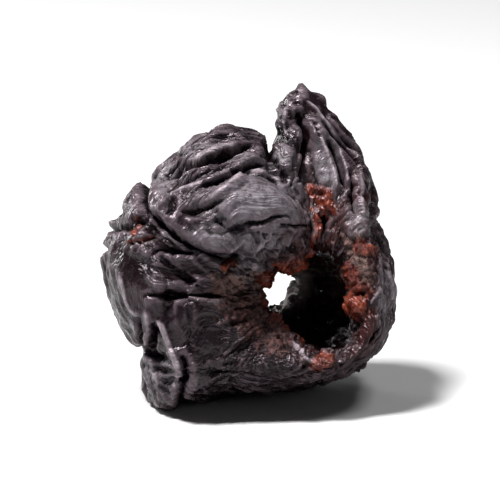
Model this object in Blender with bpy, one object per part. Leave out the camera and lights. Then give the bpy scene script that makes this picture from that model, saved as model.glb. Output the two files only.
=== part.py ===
"""A pitted prune: one dried plum, wrinkled, with the tunnel that its stone left.

The fruit is a thick-walled ring round that tunnel. Its skin is a closed sheet of points with two directions:
round the tunnel, and round a section that runs from the tunnel's wall over the front, past the outline and over
the back. Lengths are in millimetres. The fruit is drawn as seen face on: x to the right, h up and d away from
the viewer. It is then leaned back by LEAN, because it rests with its face turned a little upwards, on a small
flat spot.
"""

import bmesh
import bpy
import numpy as np

MM = 0.001
LEAN = np.radians(15.0)  # how far the face looks upwards
PLACE = np.array((0.8, -3.2, 0.9))  # brings the flat spot, under the centre of mass, to the origin
BLOCK = 40.0  # side of the block that cuts the flat spot

STEPS_ROUND = 300  # points round the tunnel
STEPS_SECTION = 150  # points round one section
KEPT_FACES = 0.124  # share of the faces that the final solid keeps
PER_SPAN = 40  # points of a smooth curve between two hand-placed ones, on an outline or a lip
PER_STRETCH = 5  # the same on a crease or a ridge

# The outline of the fruit, face on, from the tip of its ear round the left side.
OUTLINE = [
    (5.1, 31.5), (4.1, 30.5), (3.4, 28.7), (3.1, 26.6), (2.4, 25.3), (1.4, 26.2), (0.2, 27.0), (-1.5, 27.3),
    (-3.5, 27.0), (-5.1, 26.4), (-6.3, 25.5), (-7.6, 24.3), (-8.8, 23.3), (-9.5, 21.9), (-11.0, 21.3),
    (-12.1, 20.3), (-12.9, 19.1), (-13.3, 17.7), (-14.0, 17.1), (-14.5, 15.1), (-14.8, 13.0), (-14.3, 10.4),
    (-13.7, 8.2), (-12.8, 6.4), (-11.5, 5.0), (-10.5, 3.9), (-10.9, 3.0), (-10.7, 0.6), (-9.8, -1.2),
    (-7.8, -1.4), (-5.4, -0.7), (-2.6, -0.2), (0.8, 0.0), (4.5, 0.2), (7.8, 0.8), (10.8, 2.0), (13.0, 3.8),
    (14.5, 6.0), (15.2, 8.5), (15.3, 10.8), (15.0, 13.0), (14.3, 15.3), (13.3, 18.6), (13.0, 20.4),
    (12.5, 22.7), (11.6, 24.7), (10.4, 27.0), (9.0, 28.8), (6.8, 30.7), (5.8, 31.4),
]

# The tunnel: its ragged mouth as (degrees, radius), its widest part, where the stone lay, and its far end.
MOUTH_AT = np.array((6.4, 9.2))
MOUTH = [
    (88, 5.3), (74, 5.6), (45, 5.2), (23, 4.5), (0, 3.7), (-20, 4.7), (-39, 5.7), (-56, 5.6), (-77, 4.7),
    (-100, 3.9), (-138, 3.3), (-170, 4.0), (170, 4.7), (151, 4.9), (122, 4.2), (103, 4.0),
]
STONE_AT = np.array((5.4, 9.4))
STONE_HALF = np.array((5.6, 5.4))
FAR_END_AT = np.array((1.1, 11.9))
FAR_END_HALF = np.array((3.9, 3.3))

# How far the flesh stands out in front of and behind the middle plane, as (degrees, depth): round the tunnel,
# and nearer the outline, where the ear at the top is as thin as a leaf.
FRONT_AT_TUNNEL = [(0, 6.8), (60, 6.2), (100, 6.6), (140, 8.8), (180, 10.4), (225, 9.6), (270, 8.4), (315, 7.2)]
BACK_AT_TUNNEL = [(0, 8.6), (90, 8.4), (180, 10.0), (270, 9.6)]
FRONT = [
    (0, 7.0), (45, 6.6), (72, 5.2), (90, 4.8), (104, 7.6), (120, 9.0), (150, 10.0), (180, 10.4), (203, 9.6),
    (225, 9.6), (270, 8.4), (315, 7.4),
]
BACK = [
    (0, 8.5), (45, 8.0), (72, 6.2), (90, 5.2), (98, 5.6), (106, 6.8), (118, 9.0), (150, 11.5), (180, 11.5),
    (203, 10.0), (225, 10.5), (270, 10.0), (315, 9.5),
]

# Half a section, as (share of the way out, share of the depth). The lip is round, but it slopes on the left,
# and the ear thins to the edge of a leaf. Each of those two is a bell over the angle: its middle and spread.
ROUND_LIP = [
    (0, 0), (0, 0.30), (0, 0.55), (0.03, 0.74), (0.10, 0.87), (0.24, 0.97), (0.45, 1.0), (0.68, 0.91),
    (0.86, 0.67), (0.965, 0.34), (1.0, 0),
]
SLOPING_LIP = [
    (0, 0), (0, 0.24), (0, 0.42), (0.04, 0.54), (0.12, 0.66), (0.26, 0.83), (0.46, 0.97), (0.68, 0.96),
    (0.87, 0.70), (0.968, 0.36), (1.0, 0),
]
LEAF_TIP = [
    (0, 0), (0, 0.30), (0, 0.55), (0.03, 0.74), (0.10, 0.87), (0.22, 0.92), (0.40, 0.84), (0.60, 0.66),
    (0.80, 0.43), (0.95, 0.20), (1.0, 0),
]
SLOPE_AT = 195.0
SLOPE_SPREAD = 55.0
LEAF_AT = 80.0
LEAF_SPREAD = 20.0

BEND_LENGTH = 11.0  # how far out the flesh still follows the tunnel's bend
MOUTH_UNTIL = 0.5  # share of the depth at which the tunnel has its mouth's outline
FAR_END_UNTIL = 0.7  # and the same for its far end
DEPTH_UNTIL = 0.5  # share of the way out at which the depth no longer counts as the tunnel's

# The sheet's points stand closest on the face. In the tunnel and behind, a step is this many times as long.
STEP_IN_TUNNEL = 3.0
STEP_BEHIND = 1.5
USUAL_OUT = 15.0  # way out and depth of a usual section
USUAL_DEPTH = 9.0
BEHIND = -0.3  # share of the depth past which a section is behind
WALL = 0.01  # way out up to which it is the tunnel's wall
EVEN_LENGTHS = 0.7  # how far the sheet's rays are spaced by the outline's length, and not by their angle

# Swellings of the skin on the face: centre, half sizes, turn in degrees, height.
SWELLINGS = [
    ((-1.9, 18.4), (8.3, 4.2), -3, 1.9),
    ((1.5, 19.6), (5.0, 3.2), -8, 0.9),
    ((-3.6, 24.6), (6.2, 2.8), 16, 0.7),
    ((-11.4, 11.6), (3.2, 6.2), 8, 0.7),
    ((-5.6, 12.0), (4.8, 2.1), 0, 0.55),
    ((-4.6, 6.2), (4.6, 3.8), -10, 0.6),
    ((-11.9, 19.2), (2.0, 1.8), 0, 0.6),
    ((3.7, 24.1), (1.3, 1.4), 0, 0.8),
    ((9.4, 22.6), (2.4, 7.5), 18, 0.9),
    ((-0.2, 12.4), (1.7, 1.2), 20, 0.5),
]

# Creases of the face: points, depth, width on the left and right, lift of each side, how far the sides close.
CREASES = {
    "under the big pillow": (
        [
            (-10.2, 19.4), (-9.3, 18.0), (-8.0, 16.8), (-6.8, 15.9), (-5.6, 15.1), (-4.4, 14.4),
            (-3.2, 14.0), (-2.0, 13.8), (-0.6, 14.2),
        ],
        3.2, (0.9, 0.9), (0.8, 0.2), 0.55,
    ),
    "wedge under it": (
        [(-9.6, 14.3), (-8.4, 14.5), (-7.0, 14.3), (-5.2, 14.1)],
        1.6, (1.1, 0.5), (0, 0.3), 0.2,
    ),
    "level line, outer": (
        [(-10.3, 10.1), (-8.3, 10.0), (-6.8, 9.9), (-5.9, 10.1)],
        1.4, (0.6, 0.5), (0.1, 0.3), 0.3,
    ),
    "level line, inner": (
        [(-5.9, 10.3), (-5.0, 10.1), (-3.8, 10.0), (-2.2, 9.9)],
        1.2, (0.6, 0.5), (0.1, 0.3), 0.3,
    ),
    "over the long ridge": (
        [
            (-9.5, 19.6), (-8.2, 20.1), (-7.2, 20.8), (-6.4, 21.4), (-4.6, 22.1), (-3.0, 22.6),
            (-1.8, 23.2), (-0.4, 23.9), (1.0, 24.9),
        ],
        2.4, (1.3, 0.6), (0.1, 0.4), 0.3,
    ),
    "under the long ridge": (
        [(-4.4, 20.9), (-3.2, 21.4), (-2.0, 22.0), (-0.8, 22.6), (0.6, 23.0), (1.8, 23.2)],
        2.0, (0.6, 0.8), (0.2, 0.3), 0.3,
    ),
    "broad valley of the top lobe": (
        [(-8.4, 21.9), (-6.5, 22.4), (-4.2, 22.9), (-2.4, 23.5), (-1.0, 24.2), (0.6, 25.2)],
        2.4, (1.5, 1.5), (0.1, 0.0), 0.1,
    ),
    "upper valley of the top lobe": (
        [(-7.2, 24.3), (-5.8, 24.4), (-4.8, 24.8), (-3.9, 25.5), (-2.5, 25.9), (-1.0, 26.2)],
        1.6, (0.7, 0.8), (0.1, 0.2), 0.2,
    ),
    "cleft at the shoulder": (
        [(-9.4, 23.2), (-9.8, 22.0), (-10.1, 20.5), (-10.1, 19.0), (-9.9, 18.0)],
        2.4, (0.9, 1.1), (0.3, 0.1), 0.3,
    ),
    "left slit": (
        [(-15.2, 16.7), (-13.9, 16.8), (-12.6, 16.9), (-11.4, 16.8)],
        1.8, (0.7, 0.8), (0.3, 0.1), 0.3,
    ),
    "upper crack": ([(-11.2, 18.0), (-10.8, 17.1), (-11.4, 16.3)], 0.6, (0.4, 0.4), (0.1, 0.1), 0.0),
    "lower crack": (
        [(-12.2, 15.3), (-11.0, 15.4), (-9.9, 15.6), (-9.2, 15.9)],
        0.8, (0.5, 0.4), (0.2, 0.1), 0.1,
    ),
    "dimple of the big pillow": (
        [(-7.7, 20.0), (-7.5, 19.0), (-7.8, 18.1)],
        1.3, (0.9, 0.7), (0.1, 0.2), 0.1,
    ),
    "furrow of the big pillow": (
        [(-6.8, 18.4), (-5.0, 18.5), (-3.6, 19.1), (-2.2, 19.8)],
        1.2, (0.8, 1.2), (0.1, 0), 0.1,
    ),
    "dent of the big pillow": ([(-3.2, 18.1), (-2.7, 17.3), (-2.1, 16.7)], 0.7, (0.7, 0.6), (0, 0), 0.0),
    "lower line of the big pillow": (
        [(-2.6, 16.8), (-1.0, 16.8), (0.2, 17.3), (1.7, 17.4), (2.8, 17.9), (4.4, 18.1)],
        1.3, (0.6, 0.5), (0.1, 0.3), 0.2,
    ),
    "slit by the mouth": ([(3.2, 17.2), (4.8, 17.1), (6.4, 17.2)], 1.4, (0.5, 0.4), (0.2, 0.3), 0.2),
    "notch beside the ear": (
        [(2.8, 27.2), (2.4, 25.4), (2.1, 23.9), (2.4, 22.9), (3.4, 22.2), (4.4, 21.6)],
        2.2, (0.8, 0.9), (0.2, 0.2), 0.2,
    ),
    "groove of the ear": (
        [(5.0, 29.0), (5.5, 27.4), (5.8, 26.0), (5.4, 24.4), (5.2, 22.8), (4.9, 21.2)],
        3.0, (1.2, 0.9), (0.3, 0.3), 0.3,
    ),
    "slit above the mouth": (
        [(8.1, 18.8), (7.6, 17.6), (7.5, 16.2), (7.3, 14.8), (7.6, 13.2)],
        2.4, (1.2, 0.8), (0.1, 0.3), 0.2,
    ),
    "outer valley of the ear": (
        [(7.3, 28.9), (8.3, 27.4), (9.6, 25.8), (10.9, 24.5), (11.8, 23.2)],
        2.6, (0.9, 0.9), (0.3, 0.3), 0.3,
    ),
    "middle valley of the ear": (
        [(8.1, 26.0), (8.9, 24.4), (9.5, 22.6), (10.0, 20.8)],
        1.6, (0.8, 0.8), (0.2, 0.2), 0.2,
    ),
    "short groove of the ear": (
        [(6.6, 27.9), (7.0, 27.0), (7.5, 25.9)],
        1.1, (0.5, 0.5), (0.2, 0.2), 0.1,
    ),
    "inner valley of the ear": (
        [(10.3, 22.8), (10.7, 21.2), (10.6, 19.6), (11.0, 18.0)],
        1.4, (0.7, 0.7), (0.2, 0.2), 0.2,
    ),
    "pit of the ear": ([(4.2, 28.4), (4.9, 27.9)], 0.8, (0.5, 0.5), (0.1, 0.1), 0.0),
    "hollow of the flap": (
        [(-9.5, 7.5), (-9.2, 6.2), (-9.0, 4.8), (-8.5, 3.2)],
        2.2, (1.1, 0.8), (0.3, 0.3), 0.2,
    ),
    "right of the flap": (
        [(-6.6, 4.2), (-6.3, 2.4), (-6.7, 0.6), (-7.1, -1.6)],
        2.0, (1.4, 0.7), (0.1, 0.4), 0.3,
    ),
    "left of the flap": (
        [(-12.4, 3.5), (-10.9, 4.1), (-10.8, 5.4), (-10.7, 7.0), (-11.1, 8.1)],
        1.5, (0.5, 0.8), (0.3, 0.1), 0.2,
    ),
    "fold down the belly": (
        [(-5.9, 9.2), (-5.7, 7.4), (-5.8, 5.6), (-5.5, 3.8)],
        0.4, (0.7, 0.7), (0.1, 0.1), 0.0,
    ),
    "side of the left lobe": (
        [(-13.5, 12.8), (-13.1, 10.6), (-12.5, 8.8), (-11.6, 7.5)],
        0.4, (0.5, 0.9), (0.2, 0), 0.1,
    ),
    "bottom edge": ([(-5.4, 2.9), (-3.0, 2.5), (0.0, 2.2), (3.5, 1.4)], 0.7, (1.4, 1.2), (0, 0), 0.1),
    "right of the mouth": (
        [(12.8, 16.2), (13.5, 13.2), (13.8, 10.6), (13.5, 7.8), (12.2, 5.0), (9.6, 2.6)],
        0.7, (0.6, 0.6), (0.1, 0.1), 0.1,
    ),
    "under the mouth": (
        [(2.6, 6.7), (4.2, 4.4), (6.2, 2.8), (8.6, 2.0)],
        0.6, (0.6, 0.6), (0.1, 0.1), 0.1,
    ),
}

# Ridges where the skin is pinched up: points, height, half width.
RIDGES = {
    "left rim of the top lobe": ([(-9.7, 20.0), (-9.4, 21.6), (-8.6, 23.0), (-7.2, 24.0)], 0.4, 0.69),
    "ridge of the top lobe": (
        [(-6.8, 23.5), (-5.0, 23.9), (-3.7, 24.6), (-2.4, 25.1), (-0.4, 25.5)],
        0.64, 0.57,
    ),
    "long ridge": (
        [
            (-9.8, 19.1), (-8.5, 19.8), (-7.0, 20.5), (-5.0, 21.2), (-3.8, 21.7), (-2.2, 22.5),
            (-0.9, 23.2), (0.5, 23.8), (1.6, 24.7),
        ],
        0.5, 0.5,
    ),
    "upper edge of the big pillow": (
        [
            (-5.4, 19.2), (-3.9, 19.8), (-2.7, 20.5), (-1.6, 21.4), (-0.6, 22.1), (0.6, 22.5),
            (1.8, 22.3), (3.0, 21.8), (4.3, 20.8),
        ],
        0.64, 0.57,
    ),
    "left corner of the big pillow": (
        [(-9.6, 19.1), (-8.4, 18.4), (-8.0, 17.4), (-6.6, 16.8)],
        0.4, 0.46,
    ),
    "under the big crease": (
        [(-9.4, 16.6), (-7.8, 15.9), (-6.8, 15.2), (-5.6, 14.4), (-4.6, 13.9), (-3.2, 13.2)],
        0.72, 0.46,
    ),
    "lip of the wedge": ([(-9.5, 13.8), (-8.0, 13.9), (-6.5, 13.7), (-4.8, 13.8)], 0.4, 0.34),
    "lip of the level line": (
        [(-9.8, 9.4), (-8.2, 9.5), (-7.0, 9.6), (-6.0, 9.9), (-5.0, 9.7), (-3.4, 9.6)],
        0.4, 0.34,
    ),
    "branch of the level line": ([(-6.2, 9.8), (-5.6, 10.6), (-5.0, 11.4), (-4.0, 12.0)], 0.4, 0.4),
    "stub over the level line": ([(-9.4, 12.4), (-9.1, 10.9), (-7.8, 10.4)], 0.4, 0.4),
    "ridge of the left lobe": (
        [(-12.9, 12.8), (-12.5, 11.0), (-12.3, 9.8), (-11.9, 8.8), (-11.2, 8.2), (-10.4, 8.9)],
        0.64, 0.52,
    ),
    "left ridge of the flap": (
        [(-10.3, 9.0), (-9.9, 7.8), (-9.9, 6.4), (-10.2, 5.3), (-10.4, 4.4)],
        0.64, 0.46,
    ),
    "right ridge of the flap": (
        [
            (-9.7, 8.2), (-8.6, 7.2), (-8.0, 5.8), (-7.5, 4.4), (-7.1, 3.3), (-6.9, 2.2), (-7.2, 1.2),
            (-7.5, 0.0),
        ],
        0.8, 0.52,
    ),
    "foot of the flap": ([(-9.9, 4.2), (-9.6, 3.0), (-9.2, 1.9), (-8.9, 0.5)], 0.64, 0.52),
    "outer line of the ear": (
        [(5.3, 30.3), (6.8, 29.3), (7.6, 28.2), (8.6, 26.9), (9.6, 25.2)],
        0.56, 0.46,
    ),
    "middle line of the ear": (
        [(6.3, 28.9), (7.3, 26.8), (7.9, 25.2), (8.4, 23.8), (9.0, 22.0), (9.2, 20.4)],
        0.56, 0.46,
    ),
    "inner line of the ear": ([(9.2, 25.2), (9.8, 24.0), (10.2, 22.6), (10.2, 21.0)], 0.48, 0.4),
    "lower line of the ear": ([(11.3, 23.2), (11.6, 21.4), (11.6, 19.6), (12.0, 17.6)], 0.56, 0.46),
    "left line of the ear": ([(4.4, 30.6), (4.2, 29.2), (3.9, 27.4), (4.3, 25.6)], 0.48, 0.46),
    "line under the small lump": ([(2.5, 23.5), (3.2, 23.0), (4.3, 22.3)], 0.48, 0.29),
    "line beside the slit": (
        [(6.8, 18.6), (7.0, 17.4), (6.8, 16.2), (6.3, 15.2), (6.1, 14.0)],
        0.56, 0.34,
    ),
    "curl of torn skin": ([(-2.0, 12.2), (-0.9, 12.0), (0.0, 12.4), (0.6, 13.0), (0.9, 13.8)], 0.8, 0.52),
    "first pleat of the rim": ([(-2.2, 14.5), (-0.9, 15.2), (0.0, 16.2)], 0.48, 0.46),
    "second pleat of the rim": ([(0.3, 13.8), (1.1, 14.8), (2.0, 15.9), (2.6, 17.0)], 0.56, 0.46),
    "third pleat of the rim": ([(2.2, 13.6), (3.2, 14.6), (4.2, 15.6), (4.9, 16.6)], 0.48, 0.46),
    "edge by the torn flesh": ([(0.9, 9.8), (1.5, 8.4), (2.1, 7.3)], 0.56, 0.34),
    "first line under the mouth": ([(2.4, 7.3), (3.6, 6.9), (4.6, 6.2)], 0.48, 0.29),
    "lumps under the mouth": ([(3.8, 5.5), (5.2, 4.5), (6.0, 3.7), (6.9, 3.1)], 0.64, 0.57),
    "first line right of the mouth": ([(12.4, 8.9), (13.0, 10.0), (13.6, 11.0)], 0.56, 0.34),
    "second line right of the mouth": (
        [(13.9, 13.2), (14.4, 11.8), (14.6, 10.6), (14.6, 9.0)],
        0.56, 0.46,
    ),
}

FOLD_REACH = 5.0  # how far from its line a crease or a ridge is looked for
CREASE_FADE = 0.18  # share of a crease's length over which it fades at each end
RIDGE_FADE = 0.2
RIDGE_SHARE = 0.7  # share of a ridge's drawn height that stands
RIDGE_POWER = 1.3  # 1 gives a ridge straight sides, more a sharper crest
CLOSING = 0.6  # share of a crease's width by which its sides slide together where they close
DOME_POWER = 2.5  # 2 makes a swelling a dome, more a flatter cushion

# Creases behind, which wander out from the tunnel's far end. Each pair is the least and the most.
BACK_CREASES = 11
BACK_START = (4.2, 6.5)
BACK_STEP = 2.4
BACK_STEPS = (4, 8)
BACK_TURN = 0.45
BACK_WIDTH = (0.9, 1.9)
BACK_DEPTH = (0.8, 1.5)
BACK_LIFTS = (0.3, 0.1)
BACK_CLOSING = 0.15

# Wrinkles: waves a millimetre across and along them, and height. The broad ones are mostly behind.
BROAD = (0.30, 0.12, 2.4)
BROAD_ON_FACE = 0.25
SMALL = (0.60, 0.17, 1.1)
SMALL_PATCH = 6.0  # size of the patches that the small ones come in
FAINTEST = 0.2  # share of their height between patches, and in the tunnel
IN_TUNNEL = 0.3
USUAL_RADIUS = 8.5  # distance from the mouth at which waves round it have their stated size
SWAY_PATCH = 6.5  # size of the patches in which wrinkles sway to one side
SWAY_OUT = 2.0  # how far they sway outwards, and in radians round the mouth
SWAY_ROUND = 0.24
DEPTH_PITCH = 1.1  # how far a step backwards counts as one outwards
FURROW_SOFT = 0.004  # squares of the softest slope in a furrow's valley and on a crest
CREST_SOFT = 0.0008
FURROW_MEAN = 0.26  # mean distance of a drift field to zero, which keeps wrinkles from swelling the fruit
CREST_MEAN = 0.24

# Degrees between which small wrinkles run round the mouth and not out from it: start, full, still full, end.
RINGED = [(98, 108, 130, 150), (215, 245, 395, 420)]

# Where one thing gives way to another, as (none of it, all of it): by the way out, by the share of the depth
# from -1 behind to 1 in front, by the drift field of the patches, and by how squarely the skin faces forwards
# or back.
SKIN = (0.01, 0.12)
HELD_TO_OUTLINE = (0.1, 0.9)
ON_FACE = (-0.6, -0.1)
ON_REAR = (0.6, 0.1)
RIDGES_ON_FACE = (-0.2, 0.2)
FEWER_BROAD = (-0.2, 0.4)
PATCHY = (-0.3, 0.35)
SWELLING = (0, 0.5)
SLIDING = (0.4, 0.8)

# Rounds of smoothing of the directions in which each size of form stands out.
FOLD_ROUNDS = 40
BROAD_ROUNDS = 40
SMALL_ROUNDS = 20
RIDGE_ROUNDS = 12

SOFTENED = 2  # rounds of smoothing of the folded skin itself
SEEN_ROUNDS = 15  # of how far the folds have moved each point sideways
OUTLINE_ROUNDS = 30  # of how far each ray is drawn in or out


def ease(low, high, x):
    """0 at low, 1 at high, and a smooth S between. It falls where low is above high."""
    t = np.clip((x - low) / (high - low), 0, 1)
    return t * t * (3 - 2 * t)


def curve_through(points, per_span, closed=False):
    """A smooth curve through hand-placed points: a cubic on each span, with its neighbours' chord as slope."""
    p = np.asarray(points, float)
    if closed:
        spans = len(p)
        p = np.vstack((p[-1], p, p[:2]))
    else:
        spans = len(p) - 1
        p = np.vstack((2 * p[0] - p[1], p, 2 * p[-1] - p[-2]))
    t = np.linspace(0, spans, per_span * spans + 1)
    i = np.minimum(t.astype(int), spans - 1)
    f = (t - i)[:, None]
    a, b, c, d = (p[i + k] for k in range(4))
    return 0.5 * (2 * b + (c - a) * f + (2 * a - 5 * b + 4 * c - d) * f**2 + (3 * b - a - 3 * c + d) * f**3)


def round_about(stations, degrees):
    """A smooth value at each angle, from (degrees, value) stations set round a full turn."""
    at, value = np.array(sorted((angle % 360, given) for angle, given in stations)).T
    before = np.concatenate(([at[-1] - 360], at, [at[0] + 360]))
    given = np.concatenate(([value[-1]], value, [value[0]]))
    slope = (given[2:] - given[:-2]) / (before[2:] - before[:-2])
    at, value, slope = (np.append(at, at[0] + 360), np.append(value, value[0]), np.append(slope, slope[0]))
    x = (degrees - at[0]) % 360 + at[0]
    k = np.clip(np.searchsorted(at, x, side="right") - 1, 0, len(at) - 2)
    span = at[k + 1] - at[k]
    f = (x - at[k]) / span
    return (
        (2 * f**3 - 3 * f**2 + 1) * value[k]
        + (f**3 - 2 * f**2 + f) * span * slope[k]
        + (3 * f**2 - 2 * f**3) * value[k + 1]
        + (f**3 - f**2) * span * slope[k + 1]
    )


LATTICE = np.random.default_rng(7)
SHUFFLE = LATTICE.permutation(256)
LEANINGS = LATTICE.normal(size=(256, 3))
LEANINGS /= np.linalg.norm(LEANINGS, axis=1)[:, None]
FIELDS_APART = np.array((17.3, 31.7, 11.1))


def drift(p, which=0):
    """Smooth random field, about -0.7 to 0.7, one wave a unit: slopes at a unit grid's corners, blended."""
    p = p + which * FIELDS_APART
    cell = np.floor(p).astype(int)
    f = p - cell
    w = f**3 * (f * (f * 6 - 15) + 10)
    total = 0
    for corner in np.ndindex(2, 2, 2):
        x, y, z = (cell[..., k] + corner[k] for k in range(3))
        slope = LEANINGS[SHUFFLE[(SHUFFLE[(SHUFFLE[x & 255] + y) & 255] + z) & 255]]
        share = np.abs(1 - np.array(corner) - w).prod(-1)
        total = total + share * ((f - np.array(corner)) * slope).sum(-1)
    return total * 1.6


def outward(p, rounds):
    """Unit normals of the sheet, averaged with their neighbours that many times."""
    n = np.cross(np.roll(p, -1, 0) - np.roll(p, 1, 0), np.roll(p, -1, 1) - np.roll(p, 1, 1))
    for _ in range(rounds + 1):
        n /= np.maximum(np.linalg.norm(n, axis=-1, keepdims=True), 1e-9)
        n = n * 2 + np.roll(n, 1, 0) + np.roll(n, -1, 0) + np.roll(n, 1, 1) + np.roll(n, -1, 1)
    return n / np.linalg.norm(n, axis=-1, keepdims=True)


def relaxed(p, rounds):
    """The sheet with each point drawn towards the middle of its four neighbours, that many times."""
    for _ in range(rounds):
        p = p / 2 + (np.roll(p, 1, 0) + np.roll(p, -1, 0) + np.roll(p, 1, 1) + np.roll(p, -1, 1)) / 8
    return p


def sections(degrees):
    """The section's (way out, depth share) at each angle and step: the lips mixed by their bells."""
    lip, sloping, leaf_tip = (curve_through(points, PER_SPAN) for points in (ROUND_LIP, SLOPING_LIP, LEAF_TIP))
    slope, leaf = (
        np.exp(-((((degrees - at + 180) % 360 - 180) / spread) ** 2))[:, None, None]
        for at, spread in ((SLOPE_AT, SLOPE_SPREAD), (LEAF_AT, LEAF_SPREAD))
    )
    front = lip * (1 - slope - leaf) + sloping * slope + leaf_tip * leaf
    back = ((lip * (1 - leaf) + leaf_tip * leaf) * (1, -1))[:, ::-1]
    whole = np.concatenate((front, back[:, 1:]), 1)
    length = np.hypot(np.diff(whole[..., 0]) * USUAL_OUT, np.diff(whole[..., 1]) * USUAL_DEPTH)
    step = np.where(whole[:, 1:, 1] > BEHIND, 1, STEP_BEHIND)
    step = np.where(whole[:, 1:, 0] < WALL, STEP_IN_TUNNEL, step)
    count = (length / step).mean(0)
    run = np.concatenate(([0], np.cumsum(count))) / count.sum()
    at = np.interp(np.arange(STEPS_SECTION) / STEPS_SECTION, run, np.arange(len(run)))
    i = np.minimum(at.astype(int), len(run) - 2)
    f = (at - i)[:, None]
    mixed = whole[:, i] * (1 - f) + whole[:, i + 1] * f
    return mixed[..., 0], mixed[..., 1]


def bare_fruit():
    """The fruit before it wrinkles: points (x, h, d), each section's angle, its way out and its depth share."""
    edge = curve_through(OUTLINE, PER_SPAN, closed=True)
    length = np.concatenate(([0], np.cumsum(np.linalg.norm(np.diff(edge, axis=0), axis=1))))
    turn = np.unwrap(np.arctan2(edge[:, 1] - MOUTH_AT[1], edge[:, 0] - MOUTH_AT[0]))
    turned = np.abs(turn - turn[0]) / (2 * np.pi)
    spread = EVEN_LENGTHS * length / length[-1] + (1 - EVEN_LENGTHS) * turned
    u = np.arange(STEPS_ROUND) / STEPS_ROUND
    outer = np.stack([np.interp(u, spread, edge[:, k]) for k in (0, 1)], -1)
    angle = np.interp(u, spread, turn)
    degrees = np.degrees(angle)
    ray = np.stack((np.cos(angle), np.sin(angle)), -1)
    mouth = (MOUTH_AT + ray * round_about(MOUTH, degrees)[:, None])[:, None]
    stone = (STONE_AT + ray * STONE_HALF)[:, None]
    far_end = (FAR_END_AT + ray * FAR_END_HALF)[:, None]
    out, rise = sections(degrees)
    to_mouth = ease(0, MOUTH_UNTIL, rise)[..., None]
    to_far_end = ease(0, FAR_END_UNTIL, -rise)[..., None]
    inner = stone * (1 - to_mouth - to_far_end) + mouth * to_mouth + far_end * to_far_end
    flesh = np.linalg.norm(outer[:, None] - mouth, axis=-1)
    bend = (inner - mouth) * (1 - ease(0, np.minimum(1, BEND_LENGTH / flesh), out))[..., None]
    plane = mouth + (outer[:, None] - mouth) * out[..., None] + bend
    front, back = (
        near + (far - near) * ease(0, DEPTH_UNTIL, out)
        for near, far in (
            (round_about(FRONT_AT_TUNNEL, degrees)[:, None], round_about(FRONT, degrees)[:, None]),
            (round_about(BACK_AT_TUNNEL, degrees)[:, None], round_about(BACK, degrees)[:, None]),
        )
    )
    reach = np.where(rise > 0, front, back)
    return np.concatenate((plane, (-reach * rise)[..., None]), -1), angle, out, rise


def nearest(points, line):
    """Distance to a line of short stretches, the side of it, the share along it and the nearest place on it."""
    stretch = np.diff(line, axis=0)
    length = np.linalg.norm(stretch, axis=1)
    run = np.concatenate(([0], np.cumsum(length)))
    off = points[:, None] - line[:-1]
    t = np.clip((off * stretch).sum(-1) / length**2, 0, 1)
    off = off - t[..., None] * stretch
    k = np.argmin((off**2).sum(-1), axis=1)
    row = np.arange(len(points))
    off, t = off[row, k], t[row, k]
    side = stretch[k, 0] * off[:, 1] - stretch[k, 1] * off[:, 0]
    return np.linalg.norm(off, axis=1), side, (run[k] + t * length[k]) / run[-1], points - off


def within_reach(plane, line, share):
    """Which points of the face lie near enough to the line for it to move them."""
    reach = (plane > line.min(0) - FOLD_REACH) & (plane < line.max(0) + FOLD_REACH)
    return np.flatnonzero(reach.all(1) & (share > 0))


def folded(plane, share, creases):
    """How far creases push each point inwards or out, and slide it sideways. A crease has round shoulders."""
    sunk, raised = np.zeros((2, len(plane)))
    slide = np.zeros_like(plane)
    for points, depth, widths, lifts, closing in creases:
        line = curve_through(points, PER_STRETCH)
        pick = within_reach(plane, line, share)
        far, side, along, foot = nearest(plane[pick], line)
        width = np.where(side > 0, *widths)
        lift = np.where(side > 0, *lifts)
        fade = ease(0, CREASE_FADE, np.minimum(along, 1 - along)) ** 0.5 * share[pick]
        t = far / width
        dip = 1 - np.sqrt(1 - (1 - np.minimum(t, 1)) ** 2)
        swell = t * np.exp(1 - t - (t / 3) ** 2)
        sunk[pick] = np.maximum(sunk[pick], fade * depth * dip)
        raised[pick] += fade * lift * swell
        closed = fade * closing * CLOSING * width * swell / np.maximum(far, 1e-6)
        slide[pick] += (foot - plane[pick]) * closed[:, None]
    return raised - sunk, slide


def ridged(plane, share):
    """Height of the ridges: each steepens towards a sharp crest and fades at both ends."""
    raised = np.zeros(len(plane))
    for points, height, width in RIDGES.values():
        line = curve_through(points, PER_STRETCH)
        pick = within_reach(plane, line, share)
        far, _, along, _ = nearest(plane[pick], line)
        fade = ease(0, RIDGE_FADE, np.minimum(along, 1 - along)) * share[pick]
        crest = RIDGE_SHARE * height * (1 - np.minimum(far / width, 1)) ** RIDGE_POWER
        raised[pick] = np.maximum(raised[pick], fade * crest)
    return raised


def swollen(plane):
    """Height of the swellings: each a flattened dome over an ellipse."""
    push = np.zeros(len(plane))
    for centre, half, turn, height in SWELLINGS:
        c, s = np.cos(np.radians(turn)), np.sin(np.radians(turn))
        x, y = (plane - np.array(centre)).T
        r = np.hypot((x * c + y * s) / half[0], (y * c - x * s) / half[1])
        push += height * np.sqrt(1 - np.minimum(r, 1) ** DOME_POWER)
    return push


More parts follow.
